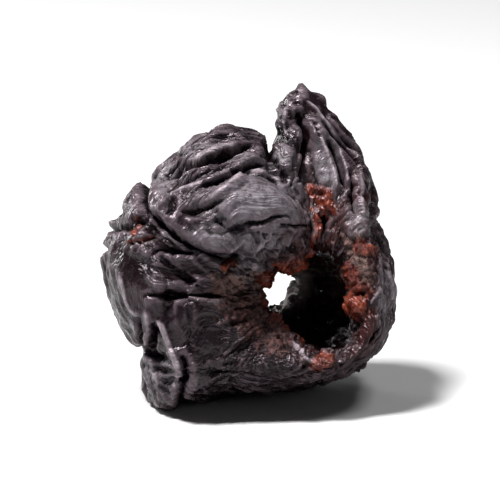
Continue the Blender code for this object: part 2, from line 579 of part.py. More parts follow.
def back_creases():
    """Creases that wander outwards from the tunnel's far end, a step at a time."""
    draw = np.random.default_rng(12)
    made = []
    for k in range(BACK_CREASES):
        angle = np.radians(k * 360 / BACK_CREASES + draw.uniform(-10, 10))
        at = FAR_END_AT + np.array((np.cos(angle), np.sin(angle))) * draw.uniform(*BACK_START)
        heading = angle + draw.uniform(-BACK_TURN, BACK_TURN)
        points = [at]
        for _ in range(int(draw.integers(*BACK_STEPS))):
            heading += draw.uniform(-BACK_TURN, BACK_TURN)
            at = at + np.array((np.cos(heading), np.sin(heading))) * BACK_STEP
            points.append(at)
        widths = (draw.uniform(*BACK_WIDTH), draw.uniform(*BACK_WIDTH))
        made.append((points, draw.uniform(*BACK_DEPTH), widths, BACK_LIFTS, BACK_CLOSING))
    return made


def grain(p, angle, across, along, which, ringed):
    """Where each point lies, in waves across and along wrinkles that run out from the mouth or round it."""
    out = np.linalg.norm(p[..., :2] - MOUTH_AT, axis=-1) + drift(p / SWAY_PATCH, which + 9) * SWAY_OUT
    turn = angle[:, None] + drift(p / SWAY_PATCH, which + 3) * SWAY_ROUND
    round_pitch = (along if ringed else across) * USUAL_RADIUS
    out_pitch = across if ringed else along
    away = (out + p[..., 2] * DEPTH_PITCH) * out_pitch
    return np.stack((np.cos(turn) * round_pitch, np.sin(turn) * round_pitch, away), -1)


def furrows(p, which):
    """Round backs with sharp valleys between, from one drift field's distance to zero."""
    return np.sqrt(drift(p, which) ** 2 + FURROW_SOFT) - FURROW_MEAN


def crests(p, which):
    """Sharp crests with round hollows between: furrows the other way up."""
    return CREST_MEAN - np.sqrt(drift(p, which) ** 2 + CREST_SOFT)


def kept_to_outline(p, angle, out):
    """The sheet drawn in or out along each ray, until its silhouette is the outline again."""
    edge = curve_through(OUTLINE, PER_SPAN, closed=True) - MOUTH_AT
    ray = np.stack((np.cos(angle), np.sin(angle)), -1)
    off = p[..., :2] - MOUTH_AT
    reach = (off * ray[:, None]).sum(-1).max(1)
    turn = np.arctan2(edge[:, 1], edge[:, 0])
    drawn = np.interp(angle, turn, np.linalg.norm(edge, axis=1), period=2 * np.pi)
    ratio = drawn / reach
    for _ in range(OUTLINE_ROUNDS):
        ratio = ratio / 2 + (np.roll(ratio, 1) + np.roll(ratio, -1)) / 4
    held = 1 + (ratio - 1)[:, None] * ease(*HELD_TO_OUTLINE, out)
    return np.concatenate((MOUTH_AT + off * held[..., None], p[..., 2:]), -1)


def folded_fruit(p, angle, out, rise, seen):
    """The fruit with swellings and creases wherever a point is seen, and on them broad, then small wrinkles."""
    skin = ease(*SKIN, out)
    face = ease(*ON_FACE, rise) * skin
    rear = ease(*ON_REAR, rise) * skin
    n = outward(p, FOLD_ROUNDS)
    plane = seen.reshape(-1, 2)
    push, slide = folded(plane, face.ravel(), CREASES.values())
    push += swollen(plane) * face.ravel() * ease(*SWELLING, rise.ravel())
    rear_push, rear_slide = folded(plane, rear.ravel(), back_creases())
    facing = ease(*SLIDING, np.abs(n[..., 2:]))
    slid = p[..., :2] + (slide + rear_slide).reshape(p.shape[:2] + (2,)) * facing
    p = np.concatenate((slid, p[..., 2:]), -1) + n * (push + rear_push).reshape(p.shape[:2] + (1,))

    across, along, height = BROAD
    behind = 1 - (1 - BROAD_ON_FACE) * ease(*FEWER_BROAD, rise)
    broad = furrows(grain(p, angle, across, along, 1, False), 1) * height * behind * skin
    p = p + outward(p, BROAD_ROUNDS) * broad[..., None]

    degrees = np.degrees(angle)
    ringed = 0
    for start, full, still_full, end in RINGED:
        turned = (degrees - start) % 360 + start
        ringed = ringed + (ease(start, full, turned) * ease(end, still_full, turned))[:, None]
    across, along, height = SMALL
    small = crests(grain(p, angle, across, along, 11, False), 11) * (1 - ringed)
    small += crests(grain(p, angle, across, along, 12, True), 12) * ringed
    patchy = FAINTEST + (1 - FAINTEST) * ease(*PATCHY, drift(p / SMALL_PATCH, 21))
    inside = IN_TUNNEL + (1 - IN_TUNNEL) * skin
    p = p + outward(p, SMALL_ROUNDS) * (small * height * patchy * inside)[..., None]
    return kept_to_outline(relaxed(p, SOFTENED), angle, out)


def wrinkled_fruit():
    """The whole skin. Its folds push each other aside, so they are placed again where they then show."""
    bare, angle, out, rise = bare_fruit()
    p = folded_fruit(bare, angle, out, rise, bare[..., :2])
    seen = bare[..., :2] + relaxed((p - bare)[..., :2], SEEN_ROUNDS)
    p = folded_fruit(bare, angle, out, rise, seen)
    face = ease(*ON_FACE, rise) * ease(*SKIN, out) * ease(*RIDGES_ON_FACE, rise)
    sharp = ridged(p[..., :2].reshape(-1, 2), face.ravel()).reshape(out.shape)
    return p + outward(p, RIDGE_ROUNDS) * sharp[..., None]


def leaned_back(p):
    """From the face-on frame to the resting one: x right, y away, z up, with the surface at zero."""
    x, h, d = p[..., 0], p[..., 1], p[..., 2]
    return np.stack((x, h * np.sin(LEAN) + d * np.cos(LEAN), h * np.cos(LEAN) - d * np.sin(LEAN)), -1) + PLACE


def skin_material():
    """Glossy, almost black skin with a purple-brown cast."""
    material = bpy.data.materials.new("prune skin")
    material.use_nodes = True
    shader = material.node_tree.nodes["Principled BSDF"]
    shader.inputs["Base Color"].default_value = (0.020, 0.012, 0.015, 1)
    shader.inputs["Roughness"].default_value = 0.34
    shader.inputs["Metallic"].default_value = 0
    return material


def table_block():
    """The block whose top, at z = 0, cuts the flat spot that the fruit rests on."""
    mesh = bpy.data.meshes.new("table block")
    block = bpy.data.objects.new("table_block", mesh)
    shape = bmesh.new()
    bmesh.ops.create_cube(shape, size=BLOCK * MM)
    bmesh.ops.translate(shape, verts=shape.verts, vec=(0, 0, -BLOCK * MM / 2))
    shape.to_mesh(mesh)
    shape.free()
    block.hide_render = True
    block.display_type = "WIRE"
    bpy.context.scene.collection.objects.link(block)
    return block


def prune():
    """The fruit as one solid: the wrinkled sheet with fewer faces, cut flat where it rests."""
    p = leaned_back(wrinkled_fruit()) * MM
    index = np.arange(STEPS_ROUND * STEPS_SECTION).reshape(STEPS_ROUND, STEPS_SECTION)
    right = np.roll(index, -1, 0)
    corners = np.stack((index, np.roll(index, -1, 1), np.roll(right, -1, 1), right), -1).reshape(-1, 4)
    mesh = bpy.data.meshes.new("prune")
    mesh.from_pydata(p.reshape(-1, 3).tolist(), [], corners.tolist())
    mesh.shade_smooth()
    mesh.materials.append(skin_material())
    fruit = bpy.data.objects.new("prune", mesh)
    bpy.context.scene.collection.objects.link(fruit)
    fewer = fruit.modifiers.new("fewer faces", "DECIMATE")
    fewer.ratio = KEPT_FACES
    spot = fruit.modifiers.new("flat spot", "BOOLEAN")
    spot.operation = "DIFFERENCE"
    spot.object = table_block()
    return fruit


for old in list(bpy.data.objects):
    bpy.data.objects.remove(old, do_unlink=True)
prune()
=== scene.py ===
import bpy
import numpy as np
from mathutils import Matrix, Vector


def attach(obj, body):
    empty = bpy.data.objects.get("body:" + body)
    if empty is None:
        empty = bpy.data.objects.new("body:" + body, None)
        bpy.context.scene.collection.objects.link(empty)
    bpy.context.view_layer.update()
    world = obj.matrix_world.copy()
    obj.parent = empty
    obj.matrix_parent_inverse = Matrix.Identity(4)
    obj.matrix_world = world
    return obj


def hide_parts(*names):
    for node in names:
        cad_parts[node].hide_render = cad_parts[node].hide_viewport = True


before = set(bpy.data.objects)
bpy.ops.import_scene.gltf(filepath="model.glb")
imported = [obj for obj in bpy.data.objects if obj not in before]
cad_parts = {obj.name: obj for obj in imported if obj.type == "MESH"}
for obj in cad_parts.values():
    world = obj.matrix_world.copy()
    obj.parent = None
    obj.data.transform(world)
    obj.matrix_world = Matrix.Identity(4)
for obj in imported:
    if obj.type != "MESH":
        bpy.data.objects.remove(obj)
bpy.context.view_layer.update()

# The fruit's body
# A ripe plum, dried whole until its skin fell into folds, then pitted: a rod pushed the stone out behind.
# So it is a thick ring of flesh round a bent tunnel, ragged at the mouth, with one thin ear of skin left.
# Lengths are in millimetres, drawn face on: x to the right, h up, d away. The face is then leaned back.
MM = 0.001
LEAN = np.radians(15.0)
PLACE = np.array((0.8, -3.2, 0.9))  # brings the flat spot, under the centre of mass, to the origin
LANDING = 0.3  # height over the surface within which the skin curves into the flat spot
STEPS_ROUND = 380  # points round the tunnel
STEPS_SECTION = 262  # points round one section
PER_SPAN = 40  # points of a smooth curve between two given ones

# The outline from the tip of the ear round the left side, and the tunnel: its ragged mouth as (degrees,
# radius), its widest part, where the stone lay, and its far end.
OUTLINE = [
    (5.1, 31.5), (4.1, 30.5), (3.4, 28.7), (3.1, 26.6), (2.4, 25.3), (1.4, 26.2), (0.2, 27.0), (-1.5, 27.3),
    (-3.5, 27.0), (-5.1, 26.4), (-6.3, 25.5), (-7.6, 24.3), (-8.8, 23.3), (-9.5, 21.9), (-11.0, 21.3),
    (-12.1, 20.3), (-12.9, 19.1), (-13.3, 17.7), (-14.0, 17.1), (-14.5, 15.1), (-14.8, 13.0), (-14.3, 10.4),
    (-13.7, 8.2), (-12.8, 6.4), (-11.5, 5.0), (-10.5, 3.9), (-10.9, 3.0), (-10.7, 0.6), (-9.8, -1.2),
    (-7.8, -1.4), (-5.4, -0.7), (-2.6, -0.2), (0.8, 0.0), (4.5, 0.2), (7.8, 0.8), (10.8, 2.0), (13.0, 3.8),
    (14.5, 6.0), (15.2, 8.5), (15.3, 10.8), (15.0, 13.0), (14.3, 15.3), (13.3, 18.6), (13.0, 20.4),
    (12.5, 22.7), (11.6, 24.7), (10.4, 27.0), (9.0, 28.8), (6.8, 30.7), (5.8, 31.4),
]
MOUTH_AT = np.array((6.4, 9.2))
MOUTH = [
    (88, 5.3), (74, 5.6), (45, 5.2), (23, 4.5), (0, 3.7), (-20, 4.7), (-39, 5.7), (-56, 5.6), (-77, 4.7),
    (-100, 3.9), (-138, 3.3), (-170, 4.0), (170, 4.7), (151, 4.9), (122, 4.2), (103, 4.0),
]
STONE_AT = np.array((5.4, 9.4))
STONE_HALF = np.array((5.6, 5.4))
FAR_END_AT = np.array((1.1, 11.9))
FAR_END_HALF = np.array((3.9, 3.3))

# How far the flesh stands out in front of and behind the middle plane, as (degrees, depth): round the tunnel,
# and nearer the outline, where the ear at the top is as thin as a leaf.
FRONT_AT_TUNNEL = [
    (0, 6.8), (60, 6.2), (100, 6.6), (140, 8.8), (180, 10.4), (225, 9.6), (270, 8.4), (315, 7.2),
]
BACK_AT_TUNNEL = [(0, 8.6), (90, 8.4), (180, 10.0), (270, 9.6)]
FRONT = [
    (0, 7.0), (45, 6.6), (72, 5.2), (90, 4.8), (104, 7.6), (120, 9.0), (150, 10.0), (180, 10.4), (203, 9.6),
    (225, 9.6), (270, 8.4), (315, 7.4),
]
BACK = [
    (0, 8.5), (45, 8.0), (72, 6.2), (90, 5.2), (98, 5.6), (106, 6.8), (118, 9.0), (150, 11.5), (180, 11.5),
    (203, 10.0), (225, 10.5), (270, 10.0), (315, 9.5),
]

# Half a section, as (share of the way out, share of the depth). The lip is round, but it slopes on the left,
# and the ear thins to the edge of a leaf. Each of those two is a bell over the angle: its middle and spread.
ROUND_LIP = [
    (0, 0), (0, 0.30), (0, 0.55), (0.03, 0.74), (0.10, 0.87), (0.24, 0.97), (0.45, 1.0), (0.68, 0.91),
    (0.86, 0.67), (0.965, 0.34), (1.0, 0),
]
SLOPING_LIP = [
    (0, 0), (0, 0.24), (0, 0.42), (0.04, 0.54), (0.12, 0.66), (0.26, 0.83), (0.46, 0.97), (0.68, 0.96),
    (0.87, 0.70), (0.968, 0.36), (1.0, 0),
]
LEAF_TIP = [
    (0, 0), (0, 0.30), (0, 0.55), (0.03, 0.74), (0.10, 0.87), (0.22, 0.92), (0.40, 0.84), (0.60, 0.66),
    (0.80, 0.43), (0.95, 0.20), (1.0, 0),
]
SLOPE_AT = 195.0
SLOPE_SPREAD = 55.0
LEAF_AT = 80.0
LEAF_SPREAD = 20.0

BEND_LENGTH = 11.0  # how far out the flesh still follows the tunnel's bend
MOUTH_UNTIL = 0.5  # share of the depth at which the tunnel has its mouth's outline
FAR_END_UNTIL = 0.7  # and the same for its far end
DEPTH_UNTIL = 0.5  # share of the way out at which the depth no longer counts as the tunnel's

# The points stand closest on the face. In the tunnel and behind, a length counts for less.
USUAL_OUT = 15  # way out and depth of a usual section
USUAL_DEPTH = 9
WALL = 0.01  # way out up to which it is the tunnel's wall
BEHIND = -0.3  # share of the depth past which it is behind
TUNNEL_SHARE = 0.35
BACK_SHARE = 0.65
EVEN_LENGTHS = 0.7  # how far the rays are spaced by the outline's length, and how far by their angle
EVEN_ANGLES = 0.3


def ease(low, high, x):
    """S curve: 0 below low, 1 above high, and 3t squared less 2t cubed between."""
    t = np.clip((x - low) / (high - low), 0, 1)
    return t * t * (3 - 2 * t)


def curve_through(points, per_span, closed=False):
    """Curve through given points: a cubic a span, whose end slopes are half its neighbours' chord."""
    p = np.asarray(points, float)
    if closed:
        spans = len(p)
        p = np.vstack((p[-1], p, p[:2]))
    else:
        spans = len(p) - 1
        p = np.vstack((2 * p[0] - p[1], p, 2 * p[-1] - p[-2]))
    t = np.linspace(0, spans, per_span * spans + 1)
    i = np.minimum(t.astype(int), spans - 1)
    f = (t - i)[:, None]
    a, b, c, d = (p[i + k] for k in range(4))
    return 0.5 * (2 * b + (c - a) * f + (2 * a - 5 * b + 4 * c - d) * f**2 + (3 * b - a - 3 * c + d) * f**3)


def round_about(stations, degrees):
    """Value at each angle from (degrees, value) stations round a full turn: a cubic between two stations."""
    at, value = np.array(sorted((angle % 360, given) for angle, given in stations)).T
    before = np.concatenate(([at[-1] - 360], at, [at[0] + 360]))
    given = np.concatenate(([value[-1]], value, [value[0]]))
    slope = (given[2:] - given[:-2]) / (before[2:] - before[:-2])
    at, value, slope = (np.append(at, at[0] + 360), np.append(value, value[0]), np.append(slope, slope[0]))
    x = (degrees - at[0]) % 360 + at[0]
    k = np.clip(np.searchsorted(at, x, side="right") - 1, 0, len(at) - 2)
    span = at[k + 1] - at[k]
    f = (x - at[k]) / span
    return (
        (2 * f**3 - 3 * f**2 + 1) * value[k]
        + (f**3 - 2 * f**2 + f) * span * slope[k]
        + (3 * f**2 - 2 * f**3) * value[k + 1]
        + (f**3 - f**2) * span * slope[k + 1]
    )


def sections(degrees):
    """Section round the flesh at each angle, as way out and share of depth: three curves mixed by bells."""
    lip, sloping, leaf_tip = (curve_through(line, PER_SPAN) for line in (ROUND_LIP, SLOPING_LIP, LEAF_TIP))
    slope, leaf = (
        np.exp(-((((degrees - at + 180) % 360 - 180) / spread) ** 2))[:, None, None]
        for at, spread in ((SLOPE_AT, SLOPE_SPREAD), (LEAF_AT, LEAF_SPREAD))
    )
    front = lip * (1 - slope - leaf) + sloping * slope + leaf_tip * leaf
    back = ((lip * (1 - leaf) + leaf_tip * leaf) * (1, -1))[:, ::-1]
    whole = np.concatenate((front, back[:, 1:]), 1)
    step = np.hypot(np.diff(whole[..., 0]) * USUAL_OUT, np.diff(whole[..., 1]) * USUAL_DEPTH)
    share = np.where(whole[:, 1:, 1] > BEHIND, 1, BACK_SHARE)
    share = np.where(whole[:, 1:, 0] < WALL, TUNNEL_SHARE, share)
    step = (step * share).mean(0)
    run = np.concatenate(([0], np.cumsum(step))) / step.sum()
    at = np.interp(np.arange(STEPS_SECTION) / STEPS_SECTION, run, np.arange(len(run)))
    i = np.minimum(at.astype(int), len(run) - 2)
    f = (at - i)[:, None]
    mixed = whole[:, i] * (1 - f) + whole[:, i + 1] * f
    return mixed[..., 0], mixed[..., 1]


def bare_fruit():
    """The plump fruit: each point is on a ray from mouth to outline, at its section's share of the depth."""
    edge = curve_through(OUTLINE, PER_SPAN, closed=True)
    length = np.concatenate(([0], np.cumsum(np.linalg.norm(np.diff(edge, axis=0), axis=1))))
    turn = np.unwrap(np.arctan2(edge[:, 1] - MOUTH_AT[1], edge[:, 0] - MOUTH_AT[0]))
    spread = EVEN_LENGTHS * length / length[-1] + EVEN_ANGLES * np.abs(turn - turn[0]) / (2 * np.pi)
    u = np.arange(STEPS_ROUND) / STEPS_ROUND
    outer = np.stack([np.interp(u, spread, edge[:, k]) for k in (0, 1)], -1)
    angle = np.interp(u, spread, turn)
    degrees = np.degrees(angle)
    ray = np.stack((np.cos(angle), np.sin(angle)), -1)
    mouth = (MOUTH_AT + ray * round_about(MOUTH, degrees)[:, None])[:, None]
    stone = (STONE_AT + ray * STONE_HALF)[:, None]
    far_end = (FAR_END_AT + ray * FAR_END_HALF)[:, None]
    out, rise = sections(degrees)
    to_mouth = ease(0, MOUTH_UNTIL, rise)[..., None]
    to_far_end = ease(0, FAR_END_UNTIL, -rise)[..., None]
    inner = stone * (1 - to_mouth - to_far_end) + mouth * to_mouth + far_end * to_far_end
    flesh = np.linalg.norm(outer[:, None] - mouth, axis=-1)
    bend = (inner - mouth) * (1 - ease(0, np.minimum(1, BEND_LENGTH / flesh), out))[..., None]
    plane = mouth + (outer[:, None] - mouth) * out[..., None] + bend
    front, back = (
        near + (far - near) * ease(0, DEPTH_UNTIL, out)
        for near, far in (
            (round_about(FRONT_AT_TUNNEL, degrees)[:, None], round_about(FRONT, degrees)[:, None]),
            (round_about(BACK_AT_TUNNEL, degrees)[:, None], round_about(BACK, degrees)[:, None]),
        )
    )
    reach = np.where(rise > 0, front, back)
    return np.concatenate((plane, (-reach * rise)[..., None]), -1), angle, out, rise


def outward(p, rounds):
    """Unit normals: the grid directions' cross product, averaged with its four neighbours each round."""
    n = np.cross(np.roll(p, -1, 0) - np.roll(p, 1, 0), np.roll(p, -1, 1) - np.roll(p, 1, 1))
    for _ in range(rounds + 1):
        n /= np.maximum(np.linalg.norm(n, axis=-1, keepdims=True), 1e-9)
        n = n * 2 + np.roll(n, 1, 0) + np.roll(n, -1, 0) + np.roll(n, 1, 1) + np.roll(n, -1, 1)
    return n / np.linalg.norm(n, axis=-1, keepdims=True)


def relaxed(p, rounds):
    """Each point drawn halfway to the mean of its four neighbours, that many times."""
    for _ in range(rounds):
        p = p / 2 + (np.roll(p, 1, 0) + np.roll(p, -1, 0) + np.roll(p, 1, 1) + np.roll(p, -1, 1)) / 8
    return p


# The folds
# As the flesh shrank, the skin swelled into pillows between creases that closed up. The big ones are listed
# one by one on the face. Behind, they wander out from the tunnel's far end.

# Swellings: centre, half sizes, turn in degrees, height.
SWELLINGS = [
    ((-1.9, 18.4), (8.3, 4.2), -3, 1.9),
    ((1.5, 19.6), (5.0, 3.2), -8, 0.9),
    ((-3.6, 24.6), (6.2, 2.8), 16, 0.7),
    ((-11.4, 11.6), (3.2, 6.2), 8, 0.7),
    ((-5.6, 12.0), (4.8, 2.1), 0, 0.55),
    ((-4.6, 6.2), (4.6, 3.8), -10, 0.6),
    ((-11.9, 19.2), (2.0, 1.8), 0, 0.6),
    ((3.7, 24.1), (1.3, 1.4), 0, 0.8),
    ((9.4, 22.6), (2.4, 7.5), 18, 0.9),
    ((-0.2, 12.4), (1.7, 1.2), 20, 0.5),
]

# Creases: points, depth, width on the left and right, lift of each side, how far the sides close.
CREASES = {
    "under the big pillow": ([(-10.2, 19.4), (-9.3, 18.0), (-8.0, 16.8), (-6.8, 15.9), (-5.6, 15.1),
        (-4.4, 14.4), (-3.2, 14.0), (-2.0, 13.8), (-0.6, 14.2)], 3.2, (0.9, 0.9), (0.8, 0.2), 0.55),
    "wedge under it": ([(-9.6, 14.3), (-8.4, 14.5), (-7.0, 14.3), (-5.2, 14.1)], 1.6, (1.1, 0.5), (0, 0.3),
        0.2),
    "level line, outer": ([(-10.3, 10.1), (-8.3, 10.0), (-6.8, 9.9), (-5.9, 10.1)], 1.4, (0.6, 0.5),
        (0.1, 0.3), 0.3),
    "level line, inner": ([(-5.9, 10.3), (-5.0, 10.1), (-3.8, 10.0), (-2.2, 9.9)], 1.2, (0.6, 0.5),
        (0.1, 0.3), 0.3),
    "over the long ridge": ([(-9.5, 19.6), (-8.2, 20.1), (-7.2, 20.8), (-6.4, 21.4), (-4.6, 22.1),
        (-3.0, 22.6), (-1.8, 23.2), (-0.4, 23.9), (1.0, 24.9)], 2.4, (1.3, 0.6), (0.1, 0.4), 0.3),
    "under the long ridge": ([(-4.4, 20.9), (-3.2, 21.4), (-2.0, 22.0), (-0.8, 22.6), (0.6, 23.0),
        (1.8, 23.2)], 2.0, (0.6, 0.8), (0.2, 0.3), 0.3),
    "broad valley of the top lobe": ([(-8.4, 21.9), (-6.5, 22.4), (-4.2, 22.9), (-2.4, 23.5), (-1.0, 24.2),
        (0.6, 25.2)], 2.4, (1.5, 1.5), (0.1, 0.0), 0.1),
    "upper valley of the top lobe": ([(-7.2, 24.3), (-5.8, 24.4), (-4.8, 24.8), (-3.9, 25.5), (-2.5, 25.9),
        (-1.0, 26.2)], 1.6, (0.7, 0.8), (0.1, 0.2), 0.2),
    "cleft at the shoulder": ([(-9.4, 23.2), (-9.8, 22.0), (-10.1, 20.5), (-10.1, 19.0), (-9.9, 18.0)], 2.4,
        (0.9, 1.1), (0.3, 0.1), 0.3),
    "left slit": ([(-15.2, 16.7), (-13.9, 16.8), (-12.6, 16.9), (-11.4, 16.8)], 1.8, (0.7, 0.8), (0.3, 0.1),
        0.3),
    "upper crack": ([(-11.2, 18.0), (-10.8, 17.1), (-11.4, 16.3)], 0.6, (0.4, 0.4), (0.1, 0.1), 0.0),
    "lower crack": ([(-12.2, 15.3), (-11.0, 15.4), (-9.9, 15.6), (-9.2, 15.9)], 0.8, (0.5, 0.4), (0.2, 0.1),
        0.1),
    "dimple of the big pillow": ([(-7.7, 20.0), (-7.5, 19.0), (-7.8, 18.1)], 1.3, (0.9, 0.7), (0.1, 0.2),
        0.1),
    "furrow of the big pillow": ([(-6.8, 18.4), (-5.0, 18.5), (-3.6, 19.1), (-2.2, 19.8)], 1.2, (0.8, 1.2),
        (0.1, 0), 0.1),
    "dent of the big pillow": ([(-3.2, 18.1), (-2.7, 17.3), (-2.1, 16.7)], 0.7, (0.7, 0.6), (0, 0), 0.0),
    "lower line of the big pillow": ([(-2.6, 16.8), (-1.0, 16.8), (0.2, 17.3), (1.7, 17.4), (2.8, 17.9),
        (4.4, 18.1)], 1.3, (0.6, 0.5), (0.1, 0.3), 0.2),
    "slit by the mouth": ([(3.2, 17.2), (4.8, 17.1), (6.4, 17.2)], 1.4, (0.5, 0.4), (0.2, 0.3), 0.2),
    "notch beside the ear": ([(2.8, 27.2), (2.4, 25.4), (2.1, 23.9), (2.4, 22.9), (3.4, 22.2), (4.4, 21.6)],
        2.2, (0.8, 0.9), (0.2, 0.2), 0.2),
    "groove of the ear": ([(5.0, 29.0), (5.5, 27.4), (5.8, 26.0), (5.4, 24.4), (5.2, 22.8), (4.9, 21.2)], 3.0,
        (1.2, 0.9), (0.3, 0.3), 0.3),
    "slit above the mouth": ([(8.1, 18.8), (7.6, 17.6), (7.5, 16.2), (7.3, 14.8), (7.6, 13.2)], 2.4,
        (1.2, 0.8), (0.1, 0.3), 0.2),
    "outer valley of the ear": ([(7.3, 28.9), (8.3, 27.4), (9.6, 25.8), (10.9, 24.5), (11.8, 23.2)], 2.6,
        (0.9, 0.9), (0.3, 0.3), 0.3),
    "middle valley of the ear": ([(8.1, 26.0), (8.9, 24.4), (9.5, 22.6), (10.0, 20.8)], 1.6, (0.8, 0.8),
        (0.2, 0.2), 0.2),
    "short groove of the ear": ([(6.6, 27.9), (7.0, 27.0), (7.5, 25.9)], 1.1, (0.5, 0.5), (0.2, 0.2), 0.1),
    "inner valley of the ear": ([(10.3, 22.8), (10.7, 21.2), (10.6, 19.6), (11.0, 18.0)], 1.4, (0.7, 0.7),
        (0.2, 0.2), 0.2),
    "pit of the ear": ([(4.2, 28.4), (4.9, 27.9)], 0.8, (0.5, 0.5), (0.1, 0.1), 0.0),
    "hollow of the flap": ([(-9.5, 7.5), (-9.2, 6.2), (-9.0, 4.8), (-8.5, 3.2)], 2.2, (1.1, 0.8), (0.3, 0.3),
        0.2),
    "right of the flap": ([(-6.6, 4.2), (-6.3, 2.4), (-6.7, 0.6), (-7.1, -1.6)], 2.0, (1.4, 0.7), (0.1, 0.4),
        0.3),
    "left of the flap": ([(-12.4, 3.5), (-10.9, 4.1), (-10.8, 5.4), (-10.7, 7.0), (-11.1, 8.1)], 1.5,
        (0.5, 0.8), (0.3, 0.1), 0.2),
    "fold down the belly": ([(-5.9, 9.2), (-5.7, 7.4), (-5.8, 5.6), (-5.5, 3.8)], 0.4, (0.7, 0.7), (0.1, 0.1),
        0.0),
    "side of the left lobe": ([(-13.5, 12.8), (-13.1, 10.6), (-12.5, 8.8), (-11.6, 7.5)], 0.4, (0.5, 0.9),
        (0.2, 0), 0.1),
    "bottom edge": ([(-5.4, 2.9), (-3.0, 2.5), (0.0, 2.2), (3.5, 1.4)], 0.7, (1.4, 1.2), (0, 0), 0.1),
    "right of the mouth": ([(12.8, 16.2), (13.5, 13.2), (13.8, 10.6), (13.5, 7.8), (12.2, 5.0), (9.6, 2.6)],
        0.7, (0.6, 0.6), (0.1, 0.1), 0.1),
    "under the mouth": ([(2.6, 6.7), (4.2, 4.4), (6.2, 2.8), (8.6, 2.0)], 0.6, (0.6, 0.6), (0.1, 0.1), 0.1),
}

